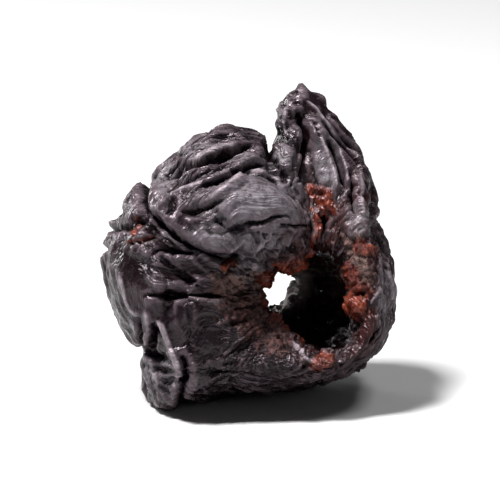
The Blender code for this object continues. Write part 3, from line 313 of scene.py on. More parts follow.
# Ridges where the skin is pinched up: points, height, half width.
RIDGES = {
    "left rim of the top lobe": ([(-9.7, 20.0), (-9.4, 21.6), (-8.6, 23.0), (-7.2, 24.0)], 0.4, 0.69),
    "ridge of the top lobe": ([(-6.8, 23.5), (-5.0, 23.9), (-3.7, 24.6), (-2.4, 25.1), (-0.4, 25.5)], 0.64,
        0.57),
    "long ridge": ([(-9.8, 19.1), (-8.5, 19.8), (-7.0, 20.5), (-5.0, 21.2), (-3.8, 21.7), (-2.2, 22.5),
        (-0.9, 23.2), (0.5, 23.8), (1.6, 24.7)], 0.5, 0.5),
    "upper edge of the big pillow": ([(-5.4, 19.2), (-3.9, 19.8), (-2.7, 20.5), (-1.6, 21.4), (-0.6, 22.1),
        (0.6, 22.5), (1.8, 22.3), (3.0, 21.8), (4.3, 20.8)], 0.64, 0.57),
    "left corner of the big pillow": ([(-9.6, 19.1), (-8.4, 18.4), (-8.0, 17.4), (-6.6, 16.8)], 0.4, 0.46),
    "under the big crease": ([(-9.4, 16.6), (-7.8, 15.9), (-6.8, 15.2), (-5.6, 14.4), (-4.6, 13.9),
        (-3.2, 13.2)], 0.72, 0.46),
    "lip of the wedge": ([(-9.5, 13.8), (-8.0, 13.9), (-6.5, 13.7), (-4.8, 13.8)], 0.4, 0.34),
    "lip of the level line": ([(-9.8, 9.4), (-8.2, 9.5), (-7.0, 9.6), (-6.0, 9.9), (-5.0, 9.7), (-3.4, 9.6)],
        0.4, 0.34),
    "branch of the level line": ([(-6.2, 9.8), (-5.6, 10.6), (-5.0, 11.4), (-4.0, 12.0)], 0.4, 0.4),
    "stub over the level line": ([(-9.4, 12.4), (-9.1, 10.9), (-7.8, 10.4)], 0.4, 0.4),
    "ridge of the left lobe": ([(-12.9, 12.8), (-12.5, 11.0), (-12.3, 9.8), (-11.9, 8.8), (-11.2, 8.2),
        (-10.4, 8.9)], 0.64, 0.52),
    "left ridge of the flap": ([(-10.3, 9.0), (-9.9, 7.8), (-9.9, 6.4), (-10.2, 5.3), (-10.4, 4.4)], 0.64,
        0.46),
    "right ridge of the flap": ([(-9.7, 8.2), (-8.6, 7.2), (-8.0, 5.8), (-7.5, 4.4), (-7.1, 3.3), (-6.9, 2.2),
        (-7.2, 1.2), (-7.5, 0.0)], 0.8, 0.52),
    "foot of the flap": ([(-9.9, 4.2), (-9.6, 3.0), (-9.2, 1.9), (-8.9, 0.5)], 0.64, 0.52),
    "outer line of the ear": ([(5.3, 30.3), (6.8, 29.3), (7.6, 28.2), (8.6, 26.9), (9.6, 25.2)], 0.56, 0.46),
    "middle line of the ear": ([(6.3, 28.9), (7.3, 26.8), (7.9, 25.2), (8.4, 23.8), (9.0, 22.0), (9.2, 20.4)],
        0.56, 0.46),
    "inner line of the ear": ([(9.2, 25.2), (9.8, 24.0), (10.2, 22.6), (10.2, 21.0)], 0.48, 0.4),
    "lower line of the ear": ([(11.3, 23.2), (11.6, 21.4), (11.6, 19.6), (12.0, 17.6)], 0.56, 0.46),
    "left line of the ear": ([(4.4, 30.6), (4.2, 29.2), (3.9, 27.4), (4.3, 25.6)], 0.48, 0.46),
    "line under the small lump": ([(2.5, 23.5), (3.2, 23.0), (4.3, 22.3)], 0.48, 0.29),
    "line beside the slit": ([(6.8, 18.6), (7.0, 17.4), (6.8, 16.2), (6.3, 15.2), (6.1, 14.0)], 0.56, 0.34),
    "curl of torn skin": ([(-2.0, 12.2), (-0.9, 12.0), (0.0, 12.4), (0.6, 13.0), (0.9, 13.8)], 0.8, 0.52),
    "first pleat of the rim": ([(-2.2, 14.5), (-0.9, 15.2), (0.0, 16.2)], 0.48, 0.46),
    "second pleat of the rim": ([(0.3, 13.8), (1.1, 14.8), (2.0, 15.9), (2.6, 17.0)], 0.56, 0.46),
    "third pleat of the rim": ([(2.2, 13.6), (3.2, 14.6), (4.2, 15.6), (4.9, 16.6)], 0.48, 0.46),
    "edge by the torn flesh": ([(0.9, 9.8), (1.5, 8.4), (2.1, 7.3)], 0.56, 0.34),
    "first line under the mouth": ([(2.4, 7.3), (3.6, 6.9), (4.6, 6.2)], 0.48, 0.29),
    "lumps under the mouth": ([(3.8, 5.5), (5.2, 4.5), (6.0, 3.7), (6.9, 3.1)], 0.64, 0.57),
    "first line right of the mouth": ([(12.4, 8.9), (13.0, 10.0), (13.6, 11.0)], 0.56, 0.34),
    "second line right of the mouth": ([(13.9, 13.2), (14.4, 11.8), (14.6, 10.6), (14.6, 9.0)], 0.56, 0.46),
}

# Where the flesh shows, and where the skin is torn to fibres: points, radius.
FLESH = {
    "below the ear, upper": ([(6.6, 20.8), (7.9, 20.6)], 0.7),
    "below the ear": ([(7.6, 20.0), (7.7, 18.9)], 1.1),
    "along the slit": ([(6.9, 18.2), (7.0, 17.0), (6.8, 16.0), (6.3, 14.9), (6.1, 13.9)], 0.2),
    "over the window": ([(3.6, 12.8), (5.2, 13.2), (6.4, 13.5)], 0.8),
    "left of the window": ([(1.9, 11.8), (2.2, 10.4), (2.6, 9.2)], 0.8),
    "right rim": ([(10.4, 12.6), (11.0, 11.6), (11.3, 10.8)], 0.8),
    "big lump": ([(11.2, 9.5), (11.4, 8.8)], 1.3),
    "upper right rim": ([(11.4, 14.9), (12.5, 14.5)], 0.75),
    "bottom rim": ([(7.2, 3.3), (8.2, 3.5)], 0.7),
    "lower left rim": ([(2.9, 7.8), (4.4, 6.9), (5.6, 5.6)], 0.45),
    "upper crack": ([(-11.1, 17.9), (-10.8, 17.0), (-11.4, 16.2)], 0.12),
    "lower crack": ([(-12.0, 15.4), (-10.6, 15.6), (-9.6, 15.9)], 0.1),
    "edge of the torn skin": ([(-2.5, 12.9), (-1.6, 13.3)], 0.4),
}
TORN = {
    "middle": ([(-1.8, 11.2), (-0.8, 9.4), (0.6, 8.6)], 1.9),
    "lower": ([(-0.6, 8.0), (0.8, 6.6), (3.0, 5.4)], 1.3),
    "rim": ([(1.0, 12.0), (1.6, 10.0), (1.9, 8.2), (3.4, 6.6)], 0.8),
    "right rim": ([(10.6, 15.4), (11.6, 13.4), (12.0, 11.4)], 0.9),
}

# Places where the skin is drawn smooth: centre, half sizes.
SMOOTH = [
    ((1.6, 19.6), (4.4, 2.6)), ((-5.4, 6.6), (4.0, 3.2)),
    ((-12.2, 11.6), (2.4, 4.6)), ((8.0, 24.6), (3.0, 5.0)),
]
SMOOTH_EDGE = 0.5  # share of its half sizes over which such a place fades

PER_STRETCH = 5  # points of a crease or a ridge between two given ones
CREASE_REACH = 5  # how far from its line a crease, a ridge or a patch is looked for
RIDGE_REACH = 1
PATCH_REACH = 3
CREASE_FADE = 0.18  # share of a crease's length over which it fades at each end
RIDGE_FADE = 0.2
CLOSING = 0.6  # share of a crease's width by which its sides slide together where they close
RIDGE_SPREAD = 1.5  # how much wider than drawn the foot of a ridge is
RIDGE_POWER = 2.4  # 1 gives a ridge straight sides, more a sharper crest
RIDGE_SHARE = 0.5  # share of a ridge's drawn height that stands
DOME_POWER = 2.5  # 2 makes a swelling a dome, more a flatter cushion

# Creases behind. Each pair is the least and the most, but the lift is that of either side.
BACK_CREASES = 11
BACK_SCATTER = (-10, 10)  # degrees off an even spacing
BACK_START = (4.2, 6.5)
BACK_HEADING = (-0.4, 0.4)
BACK_STEPS = (4, 8)
BACK_STEP = 2.4
BACK_TURN = (-0.45, 0.45)
BACK_WIDTH = (0.9, 1.9)
BACK_DEPTH = (0.8, 1.5)
BACK_LIFTS = (0.3, 0.1)
BACK_CLOSING = 0.15


def nearest(points, line):
    """Distance to a line's closest stretch, its side by a cross product, the share along it and the foot."""
    stretch = np.diff(line, axis=0)
    length = np.linalg.norm(stretch, axis=1)
    run = np.concatenate(([0], np.cumsum(length)))
    off = points[:, None] - line[:-1]
    t = np.clip((off * stretch).sum(-1) / length**2, 0, 1)
    off = off - t[..., None] * stretch
    k = np.argmin((off**2).sum(-1), axis=1)
    row = np.arange(len(points))
    off, t = off[row, k], t[row, k]
    side = stretch[k, 0] * off[:, 1] - stretch[k, 1] * off[:, 0]
    return np.linalg.norm(off, axis=1), side, (run[k] + t * length[k]) / run[-1], points - off


def within_reach(plane, line, reach):
    """Which points of the face lie in the line's box, grown by its reach on every side."""
    return ((plane > line.min(0) - reach) & (plane < line.max(0) + reach)).all(1)


def folded(plane, share, creases):
    """Push and slide of creases: a quarter circle down to the line, beside it a hump of t e to the 1-t."""
    sunk, raised = np.zeros((2, len(plane)))
    slide = np.zeros_like(plane)
    for points, depth, widths, lifts, closing in creases:
        line = curve_through(points, PER_STRETCH)
        pick = np.flatnonzero(within_reach(plane, line, CREASE_REACH) & (share > 0))
        far, side, along, foot = nearest(plane[pick], line)
        width = np.where(side > 0, *widths)
        lift = np.where(side > 0, *lifts)
        fade = ease(0, CREASE_FADE, np.minimum(along, 1 - along)) ** 0.5 * share[pick]
        t = far / width
        dip = 1 - np.sqrt(1 - (1 - np.minimum(t, 1)) ** 2)
        swell = t * np.exp(1 - t - (t / 3) ** 2)
        sunk[pick] = np.maximum(sunk[pick], fade * depth * dip)
        raised[pick] += fade * lift * swell
        closed = fade * closing * CLOSING * width * swell / np.maximum(far, 1e-6)
        slide[pick] += (foot - plane[pick]) * closed[:, None]
    return raised - sunk, slide


def ridged(plane, share):
    """Height of the thin ridges: 1 less the share of their width, to a power, fading at both ends."""
    raised = np.zeros(len(plane))
    for points, height, width in RIDGES.values():
        line = curve_through(points, PER_STRETCH)
        pick = np.flatnonzero(within_reach(plane, line, RIDGE_REACH) & (share > 0))
        far, _, along, _ = nearest(plane[pick], line)
        fade = ease(0, RIDGE_FADE, np.minimum(along, 1 - along)) * share[pick]
        crest = (1 - np.minimum(far / width / RIDGE_SPREAD, 1)) ** RIDGE_POWER
        raised[pick] = np.maximum(raised[pick], fade * height * crest)
    return raised


def patches(plane, strokes):
    """1 on the line of a broad stroke, falling evenly to -1 at twice its radius, for points of the face."""
    share = np.full(len(plane), -1.0)
    for points, radius in strokes.values():
        line = curve_through(points, PER_STRETCH)
        pick = np.flatnonzero(within_reach(plane, line, PATCH_REACH))
        far = nearest(plane[pick], line)[0]
        share[pick] = np.maximum(share[pick], 1 - far / radius)
    return share


def swollen(plane):
    """Height of the swellings: the root of 1 less r to a power, with r in half sizes from the centre."""
    push = np.zeros(len(plane))
    for centre, half, turn, height in SWELLINGS:
        c, s = np.cos(np.radians(turn)), np.sin(np.radians(turn))
        x, y = (plane - np.array(centre)).T
        r = np.hypot((x * c + y * s) / half[0], (y * c - x * s) / half[1])
        push += height * np.sqrt(1 - np.minimum(r, 1) ** DOME_POWER)
    return push


def spots(p, places, soft):
    """1 in any of some ellipses on the face, 0 outside, with soft edges, fading behind the middle plane."""
    shares = []
    for centre, half in places:
        r = np.hypot((p[..., 0] - centre[0]) / half[0], (p[..., 1] - centre[1]) / half[1])
        shares.append(ease(1 + soft, 1 - soft, r) * ease(1.5, -1.0, p[..., 2]))
    return np.max(shares, axis=0)


def back_creases():
    """Creases behind: each starts near the far end and takes equal steps out, turning a little at each."""
    draw = np.random.default_rng(12)
    made = []
    for k in range(BACK_CREASES):
        angle = np.radians(k * 360 / BACK_CREASES + draw.uniform(*BACK_SCATTER))
        at = FAR_END_AT + np.array((np.cos(angle), np.sin(angle))) * draw.uniform(*BACK_START)
        heading = angle + draw.uniform(*BACK_HEADING)
        points = [at]
        for _ in range(int(draw.integers(*BACK_STEPS))):
            heading += draw.uniform(*BACK_TURN)
            at = at + np.array((np.cos(heading), np.sin(heading))) * BACK_STEP
            points.append(at)
        widths = (draw.uniform(*BACK_WIDTH), draw.uniform(*BACK_WIDTH))
        made.append((points, draw.uniform(*BACK_DEPTH), widths, BACK_LIFTS, BACK_CLOSING))
    return made


# The wrinkles
# Between the folds the skin puckers into wrinkles with round backs and sharp valleys. They run out from the
# mouth like the pleats of a purse on the left and on the ear, and round it on the top lobe and the right rim.

# Waves a millimetre across and along the wrinkles, and their height. The broad ones are mostly behind.
BROAD, BROAD_HEIGHT = (0.30, 0.12), 2.4
SMALL, SMALL_HEIGHT = (0.60, 0.17), 1.8
CRUMPLE, CRUMPLE_HEIGHT = (0.95, 0.36), 0.8
FINE, FINE_HEIGHT = (1.3, 0.5), 0.60
LINES = (1.0, 0.28)
LESS_BROAD = 0.75  # share of the broad ones' height that the face goes without
FAINTEST = 0.2  # share of the height left between patches, then the same of crumpled skin, and in the tunnel
FAINT_CRUMPLE = 0.25
IN_TUNNEL = 0.3
SMALL_PATCH = 6.0  # size of the patches that wrinkles come in
CRUMPLE_PATCH = 5.0
FINE_PATCH = 4.0
CALM_SMALL = 0.8  # share of the height that is missing where the skin is drawn smooth
CALM_CRUMPLE = 0.7
CALM_FINE = 0.5
PINCHED = 0.30  # height of crumpled skin where two cells meet, and its rise away from a cell's centre
CUPPED = 0.22
CRUMPLE_MEAN = 0.18

USUAL_RADIUS = 8.5  # distance from the mouth at which waves round it have their stated size
SWAY_PATCH = 6.5  # size of the patches in which wrinkles sway to one side
SWAY_OUT = 2  # how far they sway outwards, and in radians round the mouth
SWAY_ROUND = 0.24
DEPTH_PITCH = 1.1  # how far a step backwards counts as one outwards
FURROW_SOFT = 0.004  # squares of the softest slope in a furrow's valley and on a crest
CREST_SOFT = 0.0008
FURROW_MEAN = 0.26  # mean distance of a drift field to zero, so that wrinkles don't swell the fruit
CREST_MEAN = 0.24

# Degrees between which small wrinkles run round the mouth and not out from it: starting, and ending.
RINGED_ABOVE = (98, 108), (150, 130)
RINGED_BELOW = (215, 245), (60, 35)

# The ragged mouth: the size of each drift field, its number and its height. Round lumps of flesh and fibres
# of torn skin: mean distance to a centre, centres a millimetre at two sizes, and the first one's number.
RAGGED = [(1.5, 41, 0.7), (0.7, 42, 0.3)]
UNEVEN = [(0.9, 43, 0.9), (0.4, 44, 0.4)]
LUMPS = (0.55, 1.5, 3.8, 91)
FIBRES = (0.5, 1.5, 3.2, 93)
FINER_LUMPS = 0.4  # height of the finer size against the coarser one
RAGGED_MOUTH = 0.9  # heights of the ragged mouth and far end, and of lumps, swollen flesh and fibres
RAGGED_FAR_END = 0.5
LUMP_HEIGHT = 0.55
FLESH_HEIGHT = 0.5
FLESH_UNEVEN = 0.8  # how much the flesh's edge strays against that of the torn skin
FIBRE_HEIGHT = 0.45

# Where one thing gives way to another, as (none of it, all of it): by the way out, by the share of the depth
# from -1 behind to 1 in front, by a drift field, or by how squarely the skin faces forwards or back.
SKIN = (0.01, 0.12)
ON_FACE = (-0.6, -0.1)
ON_REAR = (0.6, 0.1)
RIDGES_ON_FACE = (-0.2, 0.2)
SWELLING = (0, 0.5)
SLIDING = (0.4, 0.8)
FEWER_BROAD = (-0.2, 0.4)
HELD_TO_OUTLINE = (0.1, 0.9)
SMALL_PATCHY = (-0.3, 0.35)
CRUMPLE_PATCHY = (-0.3, 0.3)
FINE_PATCHY = (-0.45, 0.2)
IN_FRONT = (0.35, -0.1)
NEAR_MOUTH = (0.30, 0.04)
FAR_END_DEPTH = (-0.2, -0.6)
NEAR_FAR_END = (0.2, 0.02)
TORN_EDGE = (-0.25, 0.25)
FLESH_EDGE = (-0.15, 0.35)

# Rounds of smoothing of the directions in which each size of form stands out.
FOLD_ROUNDS = 40
BROAD_ROUNDS = 40
SMALL_ROUNDS = 20
RIDGE_ROUNDS = 12
CRUMPLE_ROUNDS = 8
RAGGED_ROUNDS = 12
FLESH_ROUNDS = 6
FINE_ROUNDS = 4
SEEN_ROUNDS = 30  # of how far the folds have moved each point sideways
OUTLINE_ROUNDS = 30  # of how far each ray is drawn in or out
DEEPEST = 1.6  # depth at which a crease counts as wholly sunk

LATTICE = np.random.default_rng(7)
SHUFFLE = LATTICE.permutation(256)
LEANINGS = LATTICE.normal(size=(256, 3))
LEANINGS /= np.linalg.norm(LEANINGS, axis=1)[:, None]
CENTRES = LATTICE.random((256, 3))
FIELDS_APART = np.array((17.3, 31.7, 11.1))
CELLS_APART = np.array((13.7, 29.3, 7.9))


def drift(p, which=0):
    """Smooth random field, about -0.7 to 0.7, one wave a unit: slopes at a unit grid's corners, blended."""
    p = p + which * FIELDS_APART
    cell = np.floor(p).astype(int)
    f = p - cell
    w = f**3 * (f * (f * 6 - 15) + 10)
    total = 0
    for corner in np.ndindex(2, 2, 2):
        x, y, z = (cell[..., k] + corner[k] for k in range(3))
        slope = LEANINGS[SHUFFLE[(SHUFFLE[(SHUFFLE[x & 255] + y) & 255] + z) & 255]]
        share = np.abs(1 - np.array(corner) - w).prod(-1)
        total = total + share * ((f - np.array(corner)) * slope).sum(-1)
    return total * 1.6


def drifts(p, fields):
    """Some drift fields added up, each at its own size and height."""
    return sum(drift(p / size, which) * height for size, which, height in fields)


def cells(p, which=0):
    """Distance to the closest and second closest of random centres, one in each cell of a unit grid."""
    p = p + which * CELLS_APART
    cell = np.floor(p).astype(int)
    closest = np.full(p.shape[:-1], 9.0)
    second = closest.copy()
    for corner in np.ndindex(3, 3, 3):
        there = cell + np.array(corner) - 1
        x, y, z = (there[..., k] & 255 for k in range(3))
        centre = there + CENTRES[SHUFFLE[(SHUFFLE[(SHUFFLE[x] + y) & 255] + z) & 255]]
        far = np.linalg.norm(p - centre, axis=-1)
        second = np.minimum(second, np.maximum(closest, far))
        closest = np.minimum(closest, far)
    return closest, second


def lumpy(p, mean, coarse, fine, which):
    """Round lumps: the mean less the distance to the closest centre, at a coarse and, lower, a fine size."""
    return mean - cells(p * coarse, which)[0] + (mean - cells(p * fine, which + 1)[0]) * FINER_LUMPS


def grain(p, angle, pitch, which, ringed):
    """Each point's turn round and way out, scaled to waves a millimetre across and along the wrinkles."""
    across, along = pitch
    out = np.hypot(p[..., 0] - MOUTH_AT[0], p[..., 1] - MOUTH_AT[1])
    out = out + drift(p / SWAY_PATCH, which + 9) * SWAY_OUT
    turn = angle[:, None] + drift(p / SWAY_PATCH, which + 3) * SWAY_ROUND
    round_pitch = (across + (along - across) * ringed) * USUAL_RADIUS
    out_pitch = along + (across - along) * ringed
    away = (out + p[..., 2] * DEPTH_PITCH) * out_pitch
    return np.stack((np.cos(turn) * round_pitch, np.sin(turn) * round_pitch, away), -1)


def furrows(p, which):
    """Round backs with sharp valleys between: the softened size of a drift field, less its mean."""
    return np.sqrt(drift(p, which) ** 2 + FURROW_SOFT) - FURROW_MEAN


def crests(p, which):
    """Sharp crests with round hollows between: furrows the other way up."""
    return CREST_MEAN - np.sqrt(drift(p, which) ** 2 + CREST_SOFT)


def puckered(p, angle, pitch, which, ringed):
    """Crests that run out from the mouth and, by the share that is ringed, crests that run round it."""
    pleats = crests(grain(p, angle, pitch, which, 0), which)
    rings = crests(grain(p, angle, pitch, which + 1, 1), which + 1)
    return pleats * (1 - ringed) + rings * ringed


def kept_to_outline(p, angle, out):
    """Each ray's reach brought back to the drawn outline, by the ratio averaged over its neighbours."""
    edge = curve_through(OUTLINE, PER_SPAN, closed=True) - MOUTH_AT
    ray = np.stack((np.cos(angle), np.sin(angle)), -1)
    off = p[..., :2] - MOUTH_AT
    reach = (off * ray[:, None]).sum(-1).max(1)
    turn = np.arctan2(edge[:, 1], edge[:, 0])
    drawn = np.interp(np.arctan2(ray[:, 1], ray[:, 0]), turn, np.hypot(*edge.T), period=2 * np.pi)
    ratio = drawn / reach
    for _ in range(OUTLINE_ROUNDS):
        ratio = ratio / 2 + (np.roll(ratio, 1) + np.roll(ratio, -1)) / 4
    held = 1 + (ratio - 1)[:, None] * ease(*HELD_TO_OUTLINE, out)
    return np.concatenate((MOUTH_AT + off * held[..., None], p[..., 2:]), -1)


def folded_fruit(p, angle, out, rise, seen):
    """Swellings and creases along the plump fruit's normals, drawn where seen, then two sizes of wrinkle."""
    skin = ease(*SKIN, out)
    face = ease(*ON_FACE, rise) * skin
    rear = ease(*ON_REAR, rise) * skin
    n = outward(p, FOLD_ROUNDS)
    plane = seen.reshape(-1, 2)
    push, slide = folded(plane, face.ravel(), CREASES.values())
    sunk = np.clip(-push / DEEPEST, 0, 1).reshape(out.shape)
    push += swollen(plane) * face.ravel() * ease(*SWELLING, rise.ravel())
    rear_push, rear_slide = folded(plane, rear.ravel(), back_creases())
    facing = ease(*SLIDING, np.abs(n[..., 2:]))
    slid = p[..., :2] + (slide + rear_slide).reshape(p.shape[:2] + (2,)) * facing
    p = np.concatenate((slid, p[..., 2:]), -1) + n * (push + rear_push).reshape(p.shape[:2] + (1,))
    calm = spots(p, SMOOTH, SMOOTH_EDGE)

    broad = furrows(grain(p, angle, BROAD, 1, 0), 1) * BROAD_HEIGHT * skin
    broad = broad * (1 - LESS_BROAD * ease(*FEWER_BROAD, rise))
    p = p + outward(p, BROAD_ROUNDS) * broad[..., None]

    degrees = np.degrees(angle)[:, None] % 360
    (above, above_end), (below, below_end) = RINGED_ABOVE, RINGED_BELOW
    ringed = ease(*above, degrees) * ease(*above_end, degrees)
    ringed = ringed + ease(*below, degrees) + ease(*below_end, degrees)
    small = puckered(p, angle, SMALL, 11, ringed)
    patchy = FAINTEST + (1 - FAINTEST) * ease(*SMALL_PATCHY, drift(p / SMALL_PATCH, 21))
    inside = IN_TUNNEL + (1 - IN_TUNNEL) * skin
    small = small * SMALL_HEIGHT * patchy * inside * (1 - CALM_SMALL * calm)
    p = p + outward(p, SMALL_ROUNDS) * small[..., None]
    return kept_to_outline(p, angle, out), sunk, ringed, calm


def crumpled(p, angle, skin, ringed, calm):
    """Height of crumpled skin: pinched where two random cells meet, cupped round the centre of each."""
    crumple = 0
    for which, share, turned in ((71, 1 - ringed, 0), (72, ringed, 1)):
        near, second = cells(grain(p, angle, CRUMPLE, which, turned), which)
        crumple = crumple + share * (PINCHED * ease(0.5, 0, second - near) + CUPPED * near)
    patchy = FAINT_CRUMPLE + (1 - FAINT_CRUMPLE) * ease(*CRUMPLE_PATCHY, drift(p / CRUMPLE_PATCH, 61))
    return (crumple - CRUMPLE_MEAN) * patchy * skin * (1 - CALM_CRUMPLE * calm)


def torn_open(p, plane, out, rise):
    """The mouth made ragged by drift fields, then lumps of flesh and torn fibres, with the share of each."""
    front = ease(*IN_FRONT, -rise)
    near_mouth = ease(*NEAR_MOUTH, out)
    far_end = ease(*FAR_END_DEPTH, rise) * ease(*NEAR_FAR_END, out)
    ragged = drifts(p, RAGGED) * (near_mouth * RAGGED_MOUTH + far_end * RAGGED_FAR_END)
    p = p + outward(p, RAGGED_ROUNDS) * ragged[..., None]
    uneven = drifts(p, UNEVEN)
    torn = ease(*TORN_EDGE, patches(plane, TORN).reshape(out.shape) + uneven) * front
    red = patches(plane, FLESH).reshape(out.shape)
    flesh = ease(*FLESH_EDGE, red + uneven * FLESH_UNEVEN) * front
    lumps = flesh * (lumpy(p, *LUMPS) * LUMP_HEIGHT + FLESH_HEIGHT * ease(0, 1, red))
    fibres = torn * (1 - flesh) * lumpy(p, *FIBRES) * FIBRE_HEIGHT
    return p + outward(p, FLESH_ROUNDS) * (lumps + fibres)[..., None], torn, flesh


def wrinkled_fruit():
    """The skin: the folded fruit, made twice so that folds show where drawn, then finer wrinkles on it."""
    bare, angle, out, rise = bare_fruit()
    p = folded_fruit(bare, angle, out, rise, bare[..., :2])[0]
    seen = bare[..., :2] + relaxed((p - bare)[..., :2], SEEN_ROUNDS)
    p, sunk, ringed, calm = folded_fruit(bare, angle, out, rise, seen)
    plane = p[..., :2].reshape(-1, 2)
    skin = ease(*SKIN, out)
    face = ease(*ON_FACE, rise) * skin * ease(*RIDGES_ON_FACE, rise)
    sharp = ridged(plane, face.ravel()).reshape(out.shape)
    p = p + outward(p, RIDGE_ROUNDS) * sharp[..., None] * RIDGE_SHARE
    p = p + outward(p, CRUMPLE_ROUNDS) * crumpled(p, angle, skin, ringed, calm)[..., None] * CRUMPLE_HEIGHT
    p, torn, flesh = torn_open(p, plane, out, rise)
    fine = puckered(p, angle, FINE, 31, ringed)
    patchy = ease(*FINE_PATCHY, drift(p / FINE_PATCH, 51)) * (1 - torn) * (1 - flesh) * (1 - CALM_FINE * calm)
    p = p + outward(p, FINE_ROUNDS) * (fine * FINE_HEIGHT * patchy)[..., None]
    lines = [grain(p, angle, LINES, 81 + k, k) for k in (0, 1)]
    return p, out, rise, lines, np.broadcast_to(ringed, out.shape), torn, flesh, sunk, sharp


def leaned_back(p):
    """From the face-on frame to the resting one: turned about the x axis by the lean, then moved."""
    x, h, d = p[..., 0], p[..., 1], p[..., 2]
    return np.stack((x, h * np.sin(LEAN) + d * np.cos(LEAN), h * np.cos(LEAN) - d * np.sin(LEAN)), -1) + PLACE


def settled(p):
    """Points below the surface brought up to it, with a short parabola between: the flat spot."""
    z = p[..., 2]
    curved = (z + LANDING) ** 2 / (4 * LANDING)
    low = np.where(z > LANDING, z, np.where(z < -LANDING, 0, curved))
    return np.concatenate((p[..., :2], low[..., None]), -1)


def sheet(name, p):
    """A mesh from a grid of points in millimetres that closes on itself both ways."""
    index = np.arange(p.shape[0] * p.shape[1]).reshape(p.shape[:2])
    right = np.roll(index, -1, 0)
    corners = np.stack((index, np.roll(index, -1, 1), np.roll(right, -1, 1), right), -1).reshape(-1, 4)
    mesh = bpy.data.meshes.new(name)
    mesh.from_pydata((p.reshape(-1, 3) * MM).tolist(), [], corners.tolist())
    mesh.shade_smooth()
    piece = bpy.data.objects.new(name, mesh)
    bpy.context.scene.collection.objects.link(piece)
    return piece


def paint(piece, name, values, kind="FLOAT", socket="value"):
    """One number or place a point, kept on the mesh for the material to read."""
    layer = piece.data.attributes.new(name, kind, "POINT")
    layer.data.foreach_set(socket, np.ascontiguousarray(values, np.float32).ravel())


def hollows(p, rounds, normal_rounds, deepest):
    """How far each point lies below the sheet relaxed by so many rounds, from -1 to 1 at the deepest."""
    lift = ((relaxed(p, rounds) - p) * outward(p, normal_rounds)).sum(-1)
    return np.clip(lift / deepest, -1, 1)


skin_points, skin_out, skin_rise, lines, ringed, torn, flesh, sunk, sharp = wrinkled_fruit()
fruit = sheet("prune_skin", settled(leaned_back(skin_points)))

# The skin's colour
# The skin is purple-black and glossy, with a grey bloom on its swellings and worn pale on its crests, both
# partly painted highlight. Painted shade darkens its hollows, creases and places in shade. Torn skin is
# brown, the flesh under it orange-red, and the wall beside the tunnel's far end is painted pale, as painted
# light from behind.

# Places on the face with bloom and painted highlight, places of painted shade, and pale torn skin: centre,
# half sizes.
BLOOM_AND_HIGHLIGHT = [
    ((1.5, 19.3), (4.9, 3.1)), ((-3.4, 15.8), (2.6, 1.1)), ((1.4, 15.7), (2.4, 1.3)),
    ((8.2, 22.8), (1.2, 3.2)), ((-9.2, 2.2), (1.6, 1.8)), ((-5.6, 25.2), (1.8, 1.1)),
    ((3.4, 24.0), (1.2, 1.1)), ((-0.9, 12.9), (2.2, 1.3)), ((13.9, 9.6), (0.6, 3.0)),
    ((11.2, 17.6), (1.0, 1.6)), ((-8.4, 22.0), (1.0, 2.0)), ((0.2, 23.7), (1.5, 0.7)),
]
# Places of painted shade, where the skin is painted near black.
PAINTED_SHADE_SPOTS = [
    ((-4.4, 6.0), (3.8, 3.2)), ((-1.0, 2.4), (7.5, 2.4)), ((-10.6, 19.2), (1.8, 2.6)),
    ((-0.9, 26.2), (2.4, 1.0)), ((-5.8, 22.4), (2.8, 1.1)), ((-1.9, 23.8), (2.6, 1.0)),
    ((4.6, 26.2), (1.2, 1.6)), ((-12.2, 8.0), (1.4, 2.0)), ((-10.0, 13.2), (2.2, 1.6)),
    ((-4.0, 23.0), (4.0, 1.3)), ((-1.6, 26.2), (3.0, 1.0)), ((8.0, 2.2), (5.0, 1.6)),
    ((-6.0, 2.0), (3.0, 3.0)), ((-4.6, 22.4), (3.4, 1.0)),
]
PALE = [((0.2, 12.6), (3.8, 2.6)), ((11.4, 14.0), (1.6, 2.4))]
COLOUR_EDGE = 0.8  # share of its half sizes over which such a place fades
FULL_EDGE = 0.6  # height at which a ridge's crest counts as wholly worn pale and painted highlight
WARM_AT = (8.5, 11)  # warmer skin round the mouth: middle, flattening, distance for none and for all of it
WARM_FLATTENED = 0.55
WARM_REACH = (9.0, 3.0)
NECK_AT = (3.6, 10.4)  # the wall beside the far end, painted pale as painted light from behind: middle, distance, share of the depth, way out
NECK_REACH = (4.2, 2.6)
NECK_FROM = (-0.42, -0.60)
NECK_UNTIL = (-0.88, -0.72)
NECK_OUT = (0.12, 0.0)
TUNNEL_OUT = (0.06, 0.0)

# The hollow and broad measures set the painted shade in hollows and the painted highlight on crests and
# swellings.
paint(fruit, "hollow", hollows(skin_points, 10, 2, 0.1))
paint(fruit, "broad", hollows(skin_points, 90, 6, 0.5))
paint(fruit, "tunnel", ease(*TUNNEL_OUT, skin_out))
# Painted light: the wall beside the far end painted pale where light from behind would fall.
neck = ease(*NECK_FROM, skin_rise) * ease(*NECK_UNTIL, skin_rise) * ease(*NECK_OUT, skin_out)
beside = ease(*NECK_REACH, np.hypot(skin_points[..., 0] - NECK_AT[0], skin_points[..., 1] - NECK_AT[1]))
paint(fruit, "painted_lit_wall", neck * beside)
from_mouth = np.hypot(skin_points[..., 0] - WARM_AT[0], (skin_points[..., 1] - WARM_AT[1]) * WARM_FLATTENED)
paint(fruit, "warm", ease(*WARM_REACH, from_mouth))
# Painted highlight along the ridges' crests, with a worn pale tone.
paint(fruit, "edge", np.clip(sharp / FULL_EDGE, 0, 1))
# The crease depth sets painted shade in the creases.
for name, share in (("ringed", ringed), ("torn", torn), ("sunk", sunk), ("flesh", flesh)):
    paint(fruit, name, share)
